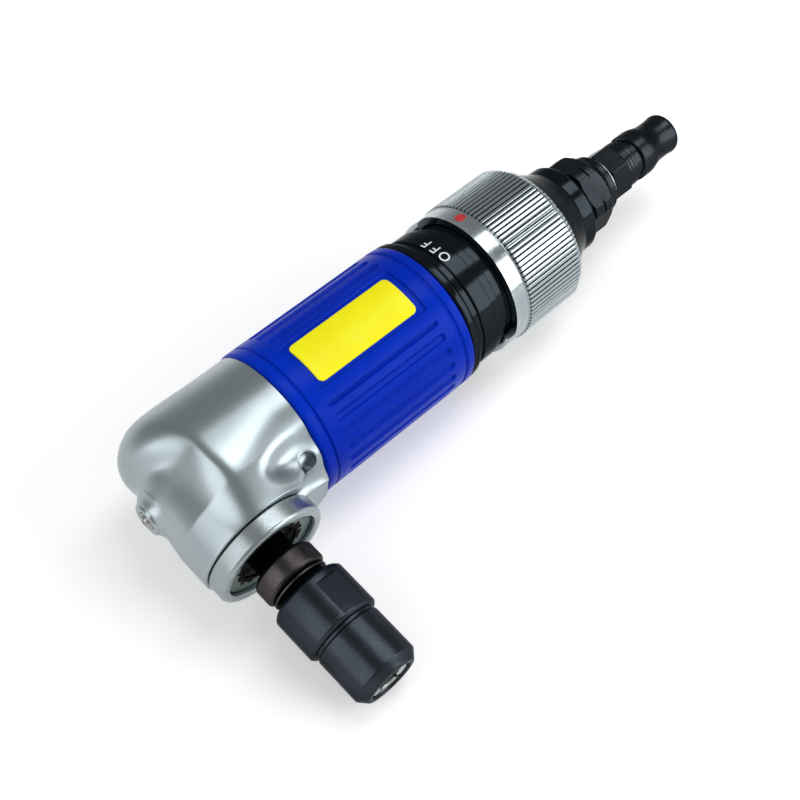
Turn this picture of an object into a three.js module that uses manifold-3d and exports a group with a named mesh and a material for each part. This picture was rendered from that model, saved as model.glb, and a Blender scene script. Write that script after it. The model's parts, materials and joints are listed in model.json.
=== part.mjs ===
// Pneumatic right angle die grinder lying on its side, in millimetres, +Z up.
// The barrel runs along +X from the angle head to the air plug. The spindle leaves the head towards
// -Y, square to the barrel. A station is a distance along either axis from the point where they
// cross, and an angle is turned from +Y (barrel) or from +X (spindle) towards +Z.
import * as THREE from 'three';
import { mergeVertices } from 'three/addons/utils/BufferGeometryUtils.js';
import Module from 'manifold-3d';

const wasm = await Module();
wasm.setup();

// Shared sizes
const clearance = 0.3;
const overrun = 1;
const largeSteps = 32;
const mediumSteps = 20;
const smallSteps = 12;
const holeSteps = 8;
const degree = Math.PI / 180;

// Angle head casting
const headStep = 0.2;
const headRearLength = 6.2;
const headFrontStep = 0.3;
const headShoulderStation = 3;
const headShoulderDepth = 8;
const headShoulderPower = 2.6;
const headCornerDepth = 11.2;
const headCornerReach = 19.6;
const headBlend = 6;
const headBlendFadeShare = 0.5;
const neckWall = 5.3;
const neckTaperStation = 12;
const neckTaperShare = 0.13;
const headBackWall = 4;
const headBackRound = 6;
const headSlices = 15;
const headSides = 32;
const spannerHoleRadius = 2.4;
const spannerHoleDepth = 2.6;
const spannerHoleMargin = 3.3;
const spannerHoleAngle = 147 * degree;
const bossRadius = 4.3;
const bossRootRadius = 6.4;
const bossFace = 16.8;
const bossFlare = 2;

// Grease fitting in the front boss
const fittingRadius = 2.4;
const fittingHead = 0.4;
const fittingStemRadius = 2;
const fittingStemLength = 4;
const fittingBoreRadius = 1;
const fittingMouthRadius = 0.6;
const greaseBallRadius = 0.7;
const greaseBallTravel = 0.5;
const greaseSpringLength = 1;
const greaseSpringWire = 0.3;

// Bevel pair, with its apex where the two axes cross
const gearModule = 1.05;
const pinionTeeth = 12;
const drivenTeeth = 18;
const toothWidth = 3.6;
const addendumShare = 0.75;
const dedendumShare = 1.05;
const pressureAngle = 20 * degree;
const toothBacklash = 0.34;
const flankSteps = 1;

// Spindle and its bearings
const bearingRimShare = 0.28;
const bearingSinkShare = 0.08;
const spindleRadius = 3;
const gearSeatRadius = 3.8;
const lowerSeatRadius = 4.2;
const shoulderRadius = 5.5;
const upperBearing = { bore: 2 * spindleRadius, outer: 15, width: 5 };
const upperBearingGap = 0.9;
const lowerBearing = { bore: 2 * lowerSeatRadius, outer: 22, width: 7 };
const circlipThickness = 0.8;
const circlipRadius = 4.2;
const circlipGap = 2.1;
const gearKeyWidth = 1.6;
const gearKeyHeight = 1.8;
const gearKeyLength = 3.2;
const collarGap = 2.5;
const collarLength = 6.2;
const collarRadius = 8.6;
const collarChamfer = 1;
const collarAcross = 16;
const collarFlatAngle = 41 * degree;
const spindleThreadRadius = 6.7;
const spindleNeckRadius = 6.2;
const spindleNeckLength = 1.4;
const neckRingHeight = 1.7;
const neckRingStartShare = 0.3;
const neckRingEndShare = 0.85;
const spindleEndGap = 2.6;
const spindleBoreRadius = 3.6;
const spindleBoreDepth = 20;
const colletSeatRadius = 5.3;

// Bearing cap, dust shield and seal
const capRadius = 15.7;
const capFlange = 5.4;
const capEdge = 0.7;
const capThreadRadius = 13;
const capThreadLength = 3.3;
const capRecessRadius = 13.2;
const capRecessDepth = 2.5;
const capBoreRadius = 9.4;
const shieldThickness = 0.6;
const shieldBoreRadius = 8.4;
const sealInnerRadius = 5.8;
const sealLength = 4.4;

// Collet and its nut
const nutSteps = 24;
const nutGap = 1.5;
const nutRadius = 10.2;
const nutLength = 29.2;
const nutShoulder = 13.3;
const nutGrooveWidth = 0.9;
const nutGrooveRadius = 8.7;
const nutFrontRadius = 9.15;
const nutNoseRadius = 7.2;
const nutNoseLength = 2.2;
const nutMouthRadius = 5.6;
const nutRearChamfer = 0.8;
const nutAcross = 19;
const nutFlatStart = 2.6;
const nutFlatLength = 9.6;
const nutFlatAngle = 70 * degree;
const nutThreadRadius = 7;
const nutThreadLength = 16;
const colletRadius = 5.1;
const colletHeadRadius = 6;
const colletRearRadius = 3.3 + clearance;
const colletBoreRadius = 3.18;
const colletSlotCount = 4;
const colletSlotWidth = 0.8;
const colletSlotLength = 19;
const colletSink = 0.7;
const colletEdge = 1;

// Pinion and the stack behind it
const pinionShaftRadius = 4;
const pinionBearingWidth = 6;
const pinionBearingOuter = 19;
const pinionTail = 2.5;
const driveAcross = 3.4;
const driveLength = 2.4;
const spigotWall = 1.2;
const spigotLength = 4.2;
const spacerThickness = 2.4;
const spacerBoreRadius = 8.6;

// Vane motor
const motorWall = 2.9;
const plateWeb = 2;
const rotorBearing = { bore: 2 * spindleRadius, outer: 19, width: 6 };
const cylinderLength = 30;
const cylinderBoreRadius = 12.6;
const cylinderOffset = 1.2;
const cylinderWall = 1.2;
const rotorGap = 1.6;
const vaneCount = 4;
const vaneThickness = 1.8;
const vaneDepth = 5.2;
const vaneStartAngle = 45 * degree;
const pinRadius = 0.8;
const gasketThickness = 0.8;
const gasketMargin = 1;
const portRadius = 1.6;
const portCount = 3;
const portPitch = 30 * degree;

// Grip sleeve and label plate
const gripWall = 2.7;
const gripEdge = 0.7;
const frontGroove = 3;
const frontGrooveWidth = 1;
const rearGroove = 3.9;
const rearGrooveWidth = 1.4;
const gripGrooveDepth = 0.5;
const fluteStart = 7.2;
const fluteEndMargin = 7;
const fluteWidth = 2.5;
const fluteDepth = 0.5;
const fluteRoundShare = 0.98;
const fluteCount = 26;
const fluteGap = 30.8 * degree;
const cornerSteps = 1;
const recessStart = 7.3;
const recessEndMargin = 7.4;
const recessWidth = 15.5;
const recessDepth = 0.65;
const recessCorner = 0.8;
const labelAngle = 91 * degree;
const labelInset = 2.1;
const labelSideInset = 1.45;
const labelCorner = 1.6;
const labelThickness = 0.35;

// Valve body
const valveThreadWall = 2.2;
const valveThreadLength = 4.6;
const valveDiscDrop = 0.2;
const valveDiscLength = 2.9;
const valveNeckDrop = 2;
const valveNeckLength = 2.1;
const valveBandDrop = 1.4;
const valveBandLength = 4.9;
const valveStepDrop = 1.9;
const valveStepLength = 2.5;
const valveCoreStep = 0.8;
const valvePassageRadius = 6;
const feedHoleRadius = 2;
const exhaustHoleRadius = 1.7;
const exhaustHoleCount = 4;
const exhaustHoleWall = 2;

// Throttle ring
const throttleGap = 0.7;
const throttleBandDrop = 0.6;
const throttleSkirtWall = 2;
const throttleEdge = 0.8;
const throttleSkirt = 3;
const throttleBand = 4.7;
const knurlLength = 19.5;
const knurlChamfer = 1.6;
const knurlChamferDrop = 0.9;
const knurlDepth = 0.4;
const knurlCount = 90;
const windowStart = 36 * degree;
const windowEnd = 181 * degree;
const throttleTurn = 75 * degree;
const ringSeatDepth = 2.8;
const snapRingThickness = 1.1;
const snapRingDepth = 1.2;
const snapRingGap = 4.6;
const oRingGroove = 1.6;
const oRingSides = 6;
const oRingInset = 3;
const ballRadius = 1.4;
const ballTravel = 0.8;
const ballStationShare = 0.45;
const ballSinkShare = 0.5;
const springRadius = 1.2;
const springLength = 4;
const dotRadius = 1.5;
const dotDepth = 0.8;
const dotThickness = 0.3;
const dotStation = 5.9;
const dotAngle = 69 * degree;

// Exhaust cap, inlet bushing and plug
const exhaustGap = 0.6;
const exhaustRimDrop = 0.2;
const exhaustRim = 1.2;
const exhaustCone = 8.2;
const exhaustConeLengthShare = 0.5;
const exhaustConeDropShare = 0.54;
const exhaustFlangeRadius = 13.2;
const exhaustFlange = 4.2;
const exhaustNose = 1.9;
const exhaustNoseRadius = 11.5;
const exhaustNoseShare = 0.55;
const exhaustWall = 1.6;
const silencerLength = 3.6;
const silencerWall = 2.6;
const bushingAcross = 21.1;
const bushingCornerRadius = 11.45;
const bushingHex = 8.2;
const bushingBevel = 1.2;
const bushingScore = 0.5;
const bushingScoreDepth = 0.4;
const bushingShoulder = 4;
const bushingShoulderRadius = 8.8;
const bushingFilletShare = 0.33;
const bushingFlatAngle = 59.3 * degree;
const bushingThreadRadius = 8;
const bushingThreadLength = 20;
const bushingBoreRadius = 5;
const screenThickness = 0.8;
const screenHoleCount = 6;
const screenHoleRadius = 0.9;
const screenHoleCircle = 2.8;
const washerThickness = 0.6;
const plugAcross = 14;
const plugCornerRadius = 8;
const plugHex = 6.8;
const plugFlatAngle = 28 * degree;
const plugShoulderRadius = 6.9;
const plugShoulder = 4;
const plugGrooveRadius = 6.2;
const plugGroove = 2.4;
const plugBulgeRadius = 7.1;
const plugBulge = 3.9;
const plugWaistRadius = 5.9;
const plugSlope = 6.2;
const plugSlopeSteps = 4;
const plugWaist = 3;
const plugFlareRadius = 6.15;
const plugFlare = 1.9;
const plugTip = 1.2;
const plugTipRadius = 5;
const plugTipSteps = 3;
const plugBoreRadius = 3.75;
const plugThreadRadius = 5;
const plugThreadLength = 7;

// Radii about the barrel, each a wall or a step away from the one inside it
const cylinderRadius = cylinderBoreRadius + cylinderOffset + cylinderWall;
const rotorRadius = cylinderBoreRadius - rotorGap;
const motorBoreRadius = cylinderRadius + clearance;
const spigotRadius = motorBoreRadius + spigotWall;
const motorRadius = motorBoreRadius + motorWall;
const gripRadius = motorRadius + clearance + gripWall;
const headRadius = gripRadius - headStep;
const valveThreadRadius = motorRadius - valveThreadWall - clearance;
const valveDiscRadius = gripRadius - valveDiscDrop;
const valveNeckRadius = gripRadius - valveNeckDrop;
const valveBandRadius = gripRadius - valveBandDrop;
const valveStepRadius = gripRadius - valveStepDrop;
const throttleRadius = gripRadius;
const throttleBandRadius = throttleRadius - throttleBandDrop;
const valveWindowRadius = throttleBandRadius - throttleSkirtWall - clearance;
const valveCoreRadius = valveWindowRadius - valveCoreStep;
const exhaustHoleCircle = valveThreadRadius - exhaustHoleRadius - exhaustHoleWall;
const exhaustRimRadius = valveWindowRadius - exhaustRimDrop;
const neckRadius = lowerBearing.outer / 2 + neckWall;
const headRear = neckRadius + headRearLength;
const headFront = headRadius + headFrontStep;

// Stations along the barrel, from the head to the plug
const gripStart = headRear + clearance;
const spigotStart = headRear - spigotLength;
const pinionBearing = {
  bore: 2 * pinionShaftRadius, outer: pinionBearingOuter, width: pinionBearingWidth,
  station: spigotStart - pinionBearingWidth,
};
const spacerStart = spigotStart + clearance;
const frontPlateStart = spacerStart + spacerThickness + clearance;
const plateLength = rotorBearing.width + clearance + plateWeb;
const cylinderStart = frontPlateStart + plateLength + clearance;
const cylinderEnd = cylinderStart + cylinderLength;
const rearPlateStart = cylinderEnd + clearance;
const rearPlateEnd = rearPlateStart + plateLength;
const gasketStart = rearPlateEnd + clearance;
const valveThreadStart = gasketStart + gasketThickness + clearance;
const valveStart = valveThreadStart + valveThreadLength;
const gripEnd = valveStart - clearance;
const gripLength = gripEnd - gripStart;
const bandStart = valveStart + valveDiscLength + valveNeckLength;
const valveWindowStart = bandStart + valveBandLength + valveStepLength;
const throttleStart = valveWindowStart + throttleGap;
const throttleBandStart = throttleStart + throttleSkirt;
const knurlStart = throttleBandStart + throttleBand;
const throttleEnd = knurlStart + knurlLength + knurlChamfer;
const snapRingStart = throttleEnd - ringSeatDepth + clearance;
const exhaustStart = throttleEnd + exhaustGap;
const valveEnd = exhaustStart - clearance;
const flangeStart = exhaustStart + exhaustRim + exhaustCone;
const exhaustEnd = flangeStart + exhaustFlange + exhaustNose;
const bushingStart = exhaustEnd + clearance;
const bushingHexEnd = bushingStart + bushingHex;
const bushingEnd = bushingHexEnd + bushingShoulder;
const washerStart = bushingEnd + clearance;
const plugStart = washerStart + washerThickness + clearance;
const ballStation = knurlStart + knurlLength * ballStationShare;

// Surface finishes
function finish(color, roughness, metalness) {
  return new THREE.MeshStandardMaterial({ color, roughness, metalness });
}
const castAluminium = finish(0xb4bcbf, 0.3, 1);
const turnedAluminium = finish(0xc2c6c8, 0.35, 1);
const groundSteel = finish(0x9a9da0, 0.35, 1);
const brownedSteel = finish(0x5c5556, 0.4, 0.9);
const blackedSteel = finish(0x1e242c, 0.35, 0.8);
const blackAnodised = finish(0x17191c, 0.4, 0.5);
const brass = finish(0xa08a55, 0.4, 1);
const bluePlastic = finish(0x0a2fb4, 0.45, 0);
const yellowLabel = finish(0xf4ee1c, 0.4, 0);
const redPaint = finish(0xb5121b, 0.4, 0);
const blackRubber = finish(0x111111, 0.8, 0);
const vaneFibre = finish(0x6b4a2a, 0.8, 0);
const greyFelt = finish(0x77746c, 0.95, 0);

// A closed triangle list becomes a solid with its faces pointing out.
function solidFrom(geometry) {
  const bare = geometry.clone();
  bare.deleteAttribute('normal');
  bare.deleteAttribute('uv');
  const merged = mergeVertices(bare);
  const vertProperties = new Float32Array(merged.attributes.position.array);
  const corner = (index) => new THREE.Vector3().fromArray(vertProperties, index * 3);
  const kept = [];
  let volume = 0;
  for (let i = 0; i < merged.index.count; i += 3) {
    const [a, b, c] = [0, 1, 2].map((k) => merged.index.getX(i + k));
    if (a !== b && b !== c && c !== a) {
      kept.push([a, b, c]);
      volume += corner(a).dot(corner(b).cross(corner(c)));
    }
  }
  const ordered = volume < 0 ? kept.map(([a, b, c]) => [a, c, b]) : kept;
  const triVerts = new Uint32Array(ordered.flat());
  return new wasm.Manifold(new wasm.Mesh({ numProp: 3, vertProperties, triVerts }));
}

// A named mesh made of a solid.
function piece(name, solid, material) {
  const { vertProperties, triVerts } = solid.getMesh();
  const geometry = new THREE.BufferGeometry();
  geometry.setAttribute('position', new THREE.BufferAttribute(vertProperties, 3));
  geometry.setIndex(new THREE.BufferAttribute(triVerts, 1));
  geometry.computeVertexNormals();
  const mesh = new THREE.Mesh(geometry, material);
  mesh.name = name;
  return mesh;
}

// A shape turned about the X axis from a profile of [station, radius] points.
function turnedShape(profile, steps) {
  const points = profile.map(([station, radius]) => new THREE.Vector2(radius, station));
  const openEnds = points[0].x === 0 && points[points.length - 1].x === 0;
  if (!openEnds) {
    points.push(points[0].clone());
  }
  return new THREE.LatheGeometry(points, steps).rotateZ(-Math.PI / 2);
}

function turned(profile, steps = largeSteps) {
  return solidFrom(turnedShape(profile, steps));
}

function rod(radius, from, to, steps = mediumSteps) {
  return turned([[from, 0], [from, radius], [to, radius], [to, 0]], steps);
}

function tube(inner, outer, from, to, steps = largeSteps) {
  return turned([[from, inner], [from, outer], [to, outer], [to, inner]], steps);
}

// A rod along X whose axis stands off the X axis by y and z.
function offsetRod(radius, from, to, y, z, steps = smallSteps) {
  const profile = [[from, 0], [from, radius], [to, radius], [to, 0]];
  return solidFrom(turnedShape(profile, steps).translate(0, y, z));
}

// A ring of round section with its centre line at a radius.
function roundRing(centreRadius, wireRadius, station, sectionSteps) {
  const profile = Array.from({ length: sectionSteps }, (unused, i) => {
    const angle = (i / sectionSteps) * 2 * Math.PI;
    return [station + wireRadius * Math.cos(angle), centreRadius + wireRadius * Math.sin(angle)];
  });
  return turned(profile, mediumSteps);
}

// A flat outline in the YZ plane, extruded along X.
function extruded(shape, from, to) {
  const axes = [new THREE.Vector3(0, 1, 0), new THREE.Vector3(0, 0, 1), new THREE.Vector3(1, 0, 0)];
  const settings = { depth: to - from, bevelEnabled: false, curveSegments: smallSteps };
  const geometry = new THREE.ExtrudeGeometry(shape, settings);
  return solidFrom(geometry.applyMatrix4(new THREE.Matrix4().makeBasis(...axes)).translate(from, 0, 0));
}

function sector(inner, outer, startAngle, endAngle, from, to) {
  const shape = new THREE.Shape();
  shape.absarc(0, 0, outer, startAngle, endAngle, false);
  shape.absarc(0, 0, inner, endAngle, startAngle, true);
  return extruded(shape, from, to);
}

function hexagon(across, flatAngle, from, to) {
  const sides = 6;
  const corners = Array.from({ length: sides }, (unused, i) => {
    const angle = flatAngle + ((i + 0.5) * 2 * Math.PI) / sides;
    const radius = across / 2 / Math.cos(Math.PI / sides);
    return new THREE.Vector2(radius * Math.cos(angle), radius * Math.sin(angle));
  });
  return extruded(new THREE.Shape(corners), from, to);
}

// A cylinder or a block standing on a radius of the X axis.
function radialRod(radius, from, to, station, angle, steps = smallSteps) {
  const geometry = new THREE.CylinderGeometry(radius, radius, to - from, steps);
  return solidFrom(geometry.translate(0, (from + to) / 2, 0).rotateX(angle).translate(station, 0, 0));
}

function radialBlock(length, width, from, to, station, angle) {
  const geometry = new THREE.BoxGeometry(length, to - from, width);
  return solidFrom(geometry.translate(0, (from + to) / 2, 0).rotateX(angle).translate(station, 0, 0));
}

// Material outside two parallel flats, to be taken from a turned piece.
function flats(across, outer, from, to, flatAngle) {
  const station = (from + to) / 2;
  const [first, second] = [flatAngle, flatAngle + Math.PI].map((angle) =>
    radialBlock(to - from, 2 * outer, across / 2, outer + overrun, station, angle));
  return first.add(second);
}

// Rings of equal counts joined into a skin, with a fan closing each end.
function loft(rings, startCentre, endCentre) {
  const count = rings[0].length;
  const points = rings.flat().concat([startCentre, endCentre]);
  const first = points.length - 2;
  const last = points.length - 1;
  const faces = [];
  for (let side = 0; side < count; side += 1) {
    const next = (side + 1) % count;
    for (let ring = 0; ring < rings.length - 1; ring += 1) {
      const here = ring * count;
      const there = here + count;
      faces.push(here + side, here + next, there + side);
      faces.push(here + next, there + next, there + side);
    }
    const end = (rings.length - 1) * count;
    faces.push(first, next, side);
    faces.push(last, end + side, end + next);
  }
  const geometry = new THREE.BufferGeometry().setFromPoints(points);
  geometry.setIndex(faces);
  return solidFrom(geometry);
}

// A solid turned about the spindle axis, which runs along -Y.
function turnedOnSpindle(profile) {
  return solidFrom(turnedShape(profile, mediumSteps).rotateZ(-Math.PI / 2));
}

// Distance-like field of the head casting, negative inside: a barrel with a rounded shoulder and a
// tapered spindle neck with a rounded back, blended where they meet.
function headField(x, y, z) {
  const backShare = THREE.MathUtils.smoothstep(y, 0, headCornerReach);
  const shoulderDepth = headShoulderDepth + headCornerDepth * backShare;
  const past = Math.max(headShoulderStation - x, 0) / shoulderDepth;
  const across = Math.hypot(y, z) / headRadius;
  const shoulder = (across ** headShoulderPower + past ** headShoulderPower) ** (1 / headShoulderPower);
  const barrel = (shoulder - 1) * headRadius;
  const neck = neckRadius - neckTaperShare * Math.max(y + neckTaperStation, 0);
  const side = Math.hypot(x, z) - neck + headBackRound;
  const back = y - headBack + headBackRound;
  const rounded = Math.hypot(Math.max(side, 0), Math.max(back, 0)) - headBackRound;
  const spindleNeck = rounded + Math.min(Math.max(side, back), 0);
  const blend = headBlend * (1 - headBlendFadeShare * backShare);
  const near = Math.max(blend - Math.abs(barrel - spindleNeck), 0) / blend;
  return Math.min(barrel, spindleNeck) - (near * near * blend) / 4;
}

// The casting's skin on slices that turn about the inner corner from the rear face to the front.
function headSkin() {
  const reach = 2 * (headRadius + headRear);
  const halvings = 30;
  const centreAt = (turn) => {
    const straight = THREE.MathUtils.lerp(headFront, headRear, turn / (Math.PI / 2));
    return straight + (Math.hypot(headFront, headRear) - straight) * Math.sin(2 * turn);
  };
  const pointAt = (turn, distance, height) =>
    new THREE.Vector3(headRear - distance * Math.sin(turn), distance * Math.cos(turn) - headFront, height);
  const rings = Array.from({ length: headSlices + 1 }, (unused, slice) => {
    const turn = (slice / headSlices) * (Math.PI / 2);
    return Array.from({ length: headSides }, (ignored, i) => {
      const angle = (i / headSides) * 2 * Math.PI;
      let inside = 0;
      let outside = reach;
      for (let k = 0; k < halvings; k += 1) {
        const middle = (inside + outside) / 2;
        const distance = centreAt(turn) + middle * Math.cos(angle);
        const point = pointAt(turn, distance, middle * Math.sin(angle));
        if (headField(point.x, point.y, point.z) < 0) {
          inside = middle;
        } else {
          outside = middle;
        }
      }
      return pointAt(turn, centreAt(turn) + inside * Math.cos(angle), inside * Math.sin(angle));
    });
  });
  return loft(rings, pointAt(0, headFront, 0), pointAt(Math.PI / 2, headRear, 0));
}

// Pitch cone sizes of one bevel gear of the pair.
function coneOf(teeth, mateTeeth) {
  const angle = Math.atan2(teeth, mateTeeth);
  const distance = (gearModule / 2) * Math.hypot(teeth, mateTeeth);
  return { angle, distance };
}

// Station and radius of the tooth root at the large end.
function heelRoot(cone) {
  const depth = dedendumShare * gearModule;
  const station = cone.distance * Math.cos(cone.angle) + depth * Math.sin(cone.angle);
  return { station, radius: cone.distance * Math.sin(cone.angle) - depth * Math.cos(cone.angle) };
}

const drivenCone = coneOf(drivenTeeth, pinionTeeth);
const pinionCone = coneOf(pinionTeeth, drivenTeeth);
const drivenTipRadius = (gearModule * drivenTeeth) / 2 + addendumShare * gearModule;
const pinionTipRadius = (gearModule * pinionTeeth) / 2 + addendumShare * gearModule;
const drivenRoot = heelRoot(drivenCone);
const pinionRoot = heelRoot(pinionCone);

// Stations along the spindle
upperBearing.station = -(pinionTipRadius + upperBearingGap + upperBearing.width);
const headBack = headBackWall - upperBearing.station;
const capStart = headFront + clearance;
const capEnd = capStart + capFlange;
const capThreadStart = capStart - capThreadLength;
lowerBearing.station = capThreadStart - clearance - lowerBearing.width;
const collarStation = capEnd + collarGap;
const neckEnd = collarStation + collarLength + spindleNeckLength;
const nutStation = neckEnd + nutGap;
const nutEnd = nutStation + nutLength;
const spindleEnd = nutStation + nutThreadLength - spindleEndGap;

// Bevel teeth with the cone's apex at the origin: involute flanks of the equivalent spur gear.
function bevelTeeth(teeth, mateTeeth, phase) {
  const cone = coneOf(teeth, mateTeeth);
  const pitchRadius = (gearModule * teeth) / 2 / Math.cos(cone.angle);
  const baseRadius = pitchRadius * Math.cos(pressureAngle);
  const involute = (radius) => {
    const angle = Math.acos(Math.min(baseRadius / radius, 1));
    return Math.tan(angle) - angle;
  };
  const root = -dedendumShare * gearModule;
  const tip = addendumShare * gearModule;
  const heights = Array.from({ length: flankSteps + 1 }, (unused, i) =>
    root + ((tip - root) * i) / flankSteps);
  const halfThickness = (height) => {
    const equivalent = Math.PI / 2 - toothBacklash / gearModule;
    const spread = equivalent / ((teeth / Math.cos(cone.angle))) + involute(pitchRadius);
    return (spread - involute(pitchRadius + height)) / Math.cos(cone.angle);
  };
  const ringAt = (distance) => {
    const scale = distance / cone.distance;
    const points = [];
    for (let tooth = 0; tooth < teeth; tooth += 1) {
      const centre = phase + (tooth * 2 * Math.PI) / teeth;
      const rising = heights.map((height) => [height, centre - halfThickness(height)]);
      const falling = [...heights].reverse().map((height) => [height, centre + halfThickness(height)]);
      for (const [height, angle] of rising.concat(falling)) {
        const station = distance * Math.cos(cone.angle) - height * scale * Math.sin(cone.angle);
        const radius = distance * Math.sin(cone.angle) + height * scale * Math.cos(cone.angle);
        points.push(new THREE.Vector3(station, radius * Math.cos(angle), radius * Math.sin(angle)));
      }
    }
    return points;
  };
  const rootCentre = (distance) => {
    const depth = (-root * distance) / cone.distance;
    return new THREE.Vector3(distance * Math.cos(cone.angle) + depth * Math.sin(cone.angle), 0, 0);
  };
  const toe = cone.distance - toothWidth;
  return loft([ringAt(toe), ringAt(cone.distance)], rootCentre(toe), rootCentre(cone.distance));
}

// A ball bearing as one ring, its shield sunk behind the outer race.
function bearing(name, size, station) {
  const inner = size.bore / 2 + clearance;
  const outer = size.outer / 2;
  const shield = outer - (outer - inner) * bearingRimShare;
  const end = station + size.width;
  const sunkEnd = end - size.width * bearingSinkShare;
  const profile = [
    [station, inner], [station, outer], [end, outer], [end, shield], [sunkEnd, shield], [sunkEnd, inner],
  ];
  return piece(name, turned(profile, mediumSteps), groundSteel);
}

function angleHousing() {
  const pinionBore = pinionBearing.outer / 2 + clearance;
  const gearBore = drivenTipRadius + clearance;
  const upperBore = upperBearing.outer / 2 + clearance;
  const upperFloor = upperBearing.station - clearance;
  const bossProfile = [
    [-bossFace, 0], [-bossFace, bossRadius], [bossFlare - bossFace, bossRootRadius],
    [-headBackRound, bossRootRadius], [-headBackRound, 0],
  ];
  const spindleBore = turnedOnSpindle([
    [upperFloor, 0], [upperFloor, upperBore], [upperBearing.station + upperBearing.width, upperBore],
    [upperBearing.station + upperBearing.width + clearance, gearBore],
    [lowerBearing.station - clearance, gearBore],
    [lowerBearing.station - clearance, lowerBearing.outer / 2 + clearance],
    [capThreadStart - clearance, lowerBearing.outer / 2 + clearance],
    [capThreadStart - clearance, capThreadRadius + clearance],
    [headFront + overrun, capThreadRadius + clearance], [headFront + overrun, 0],
  ]);
  const barrelBore = turned([
    [0, 0], [0, pinionTipRadius + clearance],
    [pinionBearing.station - clearance, pinionTipRadius + clearance],
    [pinionBearing.station - clearance, pinionBore], [spigotStart, pinionBore],
    [spigotStart, spigotRadius + clearance], [headRear + overrun, spigotRadius + clearance],
    [headRear + overrun, 0],
  ], mediumSteps);
  const spannerHole = radialRod(spannerHoleRadius, headRadius - spannerHoleDepth, headRadius + overrun,
    headRear - spannerHoleMargin, spannerHoleAngle);
  const greaseBore = rod(fittingStemRadius + clearance, -bossFace - overrun, 0, smallSteps);
  const body = headSkin().add(turned(bossProfile, mediumSteps));
  const bored = body.subtract(spindleBore).subtract(barrelBore);
  return piece('angle_housing', bored.subtract(spannerHole).subtract(greaseBore), castAluminium);
}

const fittingFace = -bossFace - clearance - fittingHead;
const fittingInner = fittingFace + fittingHead + clearance + fittingStemLength;
const greaseBallStation = fittingFace + fittingHead + greaseBallRadius;

function greaseFitting() {
  const outline = [
    [fittingFace, fittingMouthRadius], [fittingFace, fittingRadius - clearance],
    [fittingFace + fittingHead / 2, fittingRadius], [fittingFace + fittingHead, fittingRadius],
    [fittingFace + fittingHead, fittingStemRadius], [fittingInner, fittingStemRadius],
    [fittingInner, fittingBoreRadius], [greaseBallStation, fittingBoreRadius],
    [greaseBallStation - greaseBallRadius, fittingMouthRadius],
  ];
  return piece('grease_fitting', turned(outline, smallSteps), brass);
}

function greaseBall() {
  const ball = new THREE.SphereGeometry(greaseBallRadius, smallSteps, smallSteps / 2);
  const mesh = piece('grease_check_ball', solidFrom(ball), groundSteel);
  mesh.position.x = greaseBallStation + clearance;
  return mesh;
}

function greaseSpring() {
  const start = greaseBallStation + 2 * clearance + greaseBallRadius + greaseBallTravel;
  const outer = fittingBoreRadius - clearance / 2;
  const solid = tube(outer - greaseSpringWire, outer, start, start + greaseSpringLength, smallSteps);
  return piece('grease_spring', solid, groundSteel);
}

function bearingCap() {
  const outline = [
    [capThreadStart, capBoreRadius], [capThreadStart, capThreadRadius], [capStart, capThreadRadius],
    [capStart, capRadius], [capEnd - capEdge, capRadius], [capEnd, capRadius - capEdge],
    [capEnd, capRecessRadius + capEdge / 2], [capEnd - capEdge, capRecessRadius],
    [capEnd - capRecessDepth, capRecessRadius], [capEnd - capRecessDepth, capBoreRadius],
  ];
  return piece('bearing_cap', turned(outline), turnedAluminium);
}

function dustShield() {
  const start = capEnd - capRecessDepth + clearance;
  const outer = capRecessRadius - clearance;
  return piece('dust_shield', tube(shieldBoreRadius, outer, start, start + shieldThickness), turnedAluminium);
}

function spindleSeal() {
  const start = capThreadStart + clearance;
  const outer = capBoreRadius - clearance;
  const solid = tube(sealInnerRadius, outer, start, start + sealLength, mediumSteps);
  return piece('spindle_seal', solid, blackRubber);
}

function spindle() {
  const upperEnd = upperBearing.station + upperBearing.width;
  const gearStart = upperEnd + circlipThickness + 2 * clearance;
  const collarEnd = collarStation + collarLength;
  const ringStart = collarEnd + neckRingStartShare * spindleNeckLength;
  const ringEnd = collarEnd + neckRingEndShare * spindleNeckLength;
  const ringRadius = spindleNeckRadius + neckRingHeight;
  const outline = [
    [upperBearing.station, 0], [upperBearing.station, spindleRadius], [gearStart, spindleRadius],
    [gearStart, gearSeatRadius], [lowerBearing.station - clearance, gearSeatRadius],
    [lowerBearing.station - clearance, lowerSeatRadius],
    [capThreadStart, lowerSeatRadius], [capThreadStart, shoulderRadius],
    [collarStation, shoulderRadius], [collarStation, collarRadius - collarChamfer],
    [collarStation + collarChamfer, collarRadius], [collarEnd - collarChamfer, collarRadius],
    [collarEnd, collarRadius - collarChamfer], [collarEnd, spindleNeckRadius],
    [ringStart, spindleNeckRadius], [ringStart, ringRadius], [ringEnd, ringRadius],
    [ringEnd, spindleNeckRadius],
    [neckEnd, spindleNeckRadius], [neckEnd, spindleThreadRadius],
    [spindleEnd - clearance, spindleThreadRadius], [spindleEnd, spindleThreadRadius - clearance],
    [spindleEnd, colletSeatRadius], [nutStation, spindleBoreRadius + clearance],
    [spindleEnd - spindleBoreDepth, spindleBoreRadius], [spindleEnd - spindleBoreDepth, 0],
  ];
  const wrench = flats(collarAcross, collarRadius, collarStation, collarEnd, collarFlatAngle);
  const keyStation = drivenRoot.station;
  const keyway = radialBlock(gearKeyLength + 2 * clearance, gearKeyWidth + clearance,
    gearSeatRadius - gearKeyHeight / 2, gearSeatRadius + overrun, keyStation, Math.PI);
  return piece('spindle', turned(outline, mediumSteps).subtract(wrench).subtract(keyway), brownedSteel);
}

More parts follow.
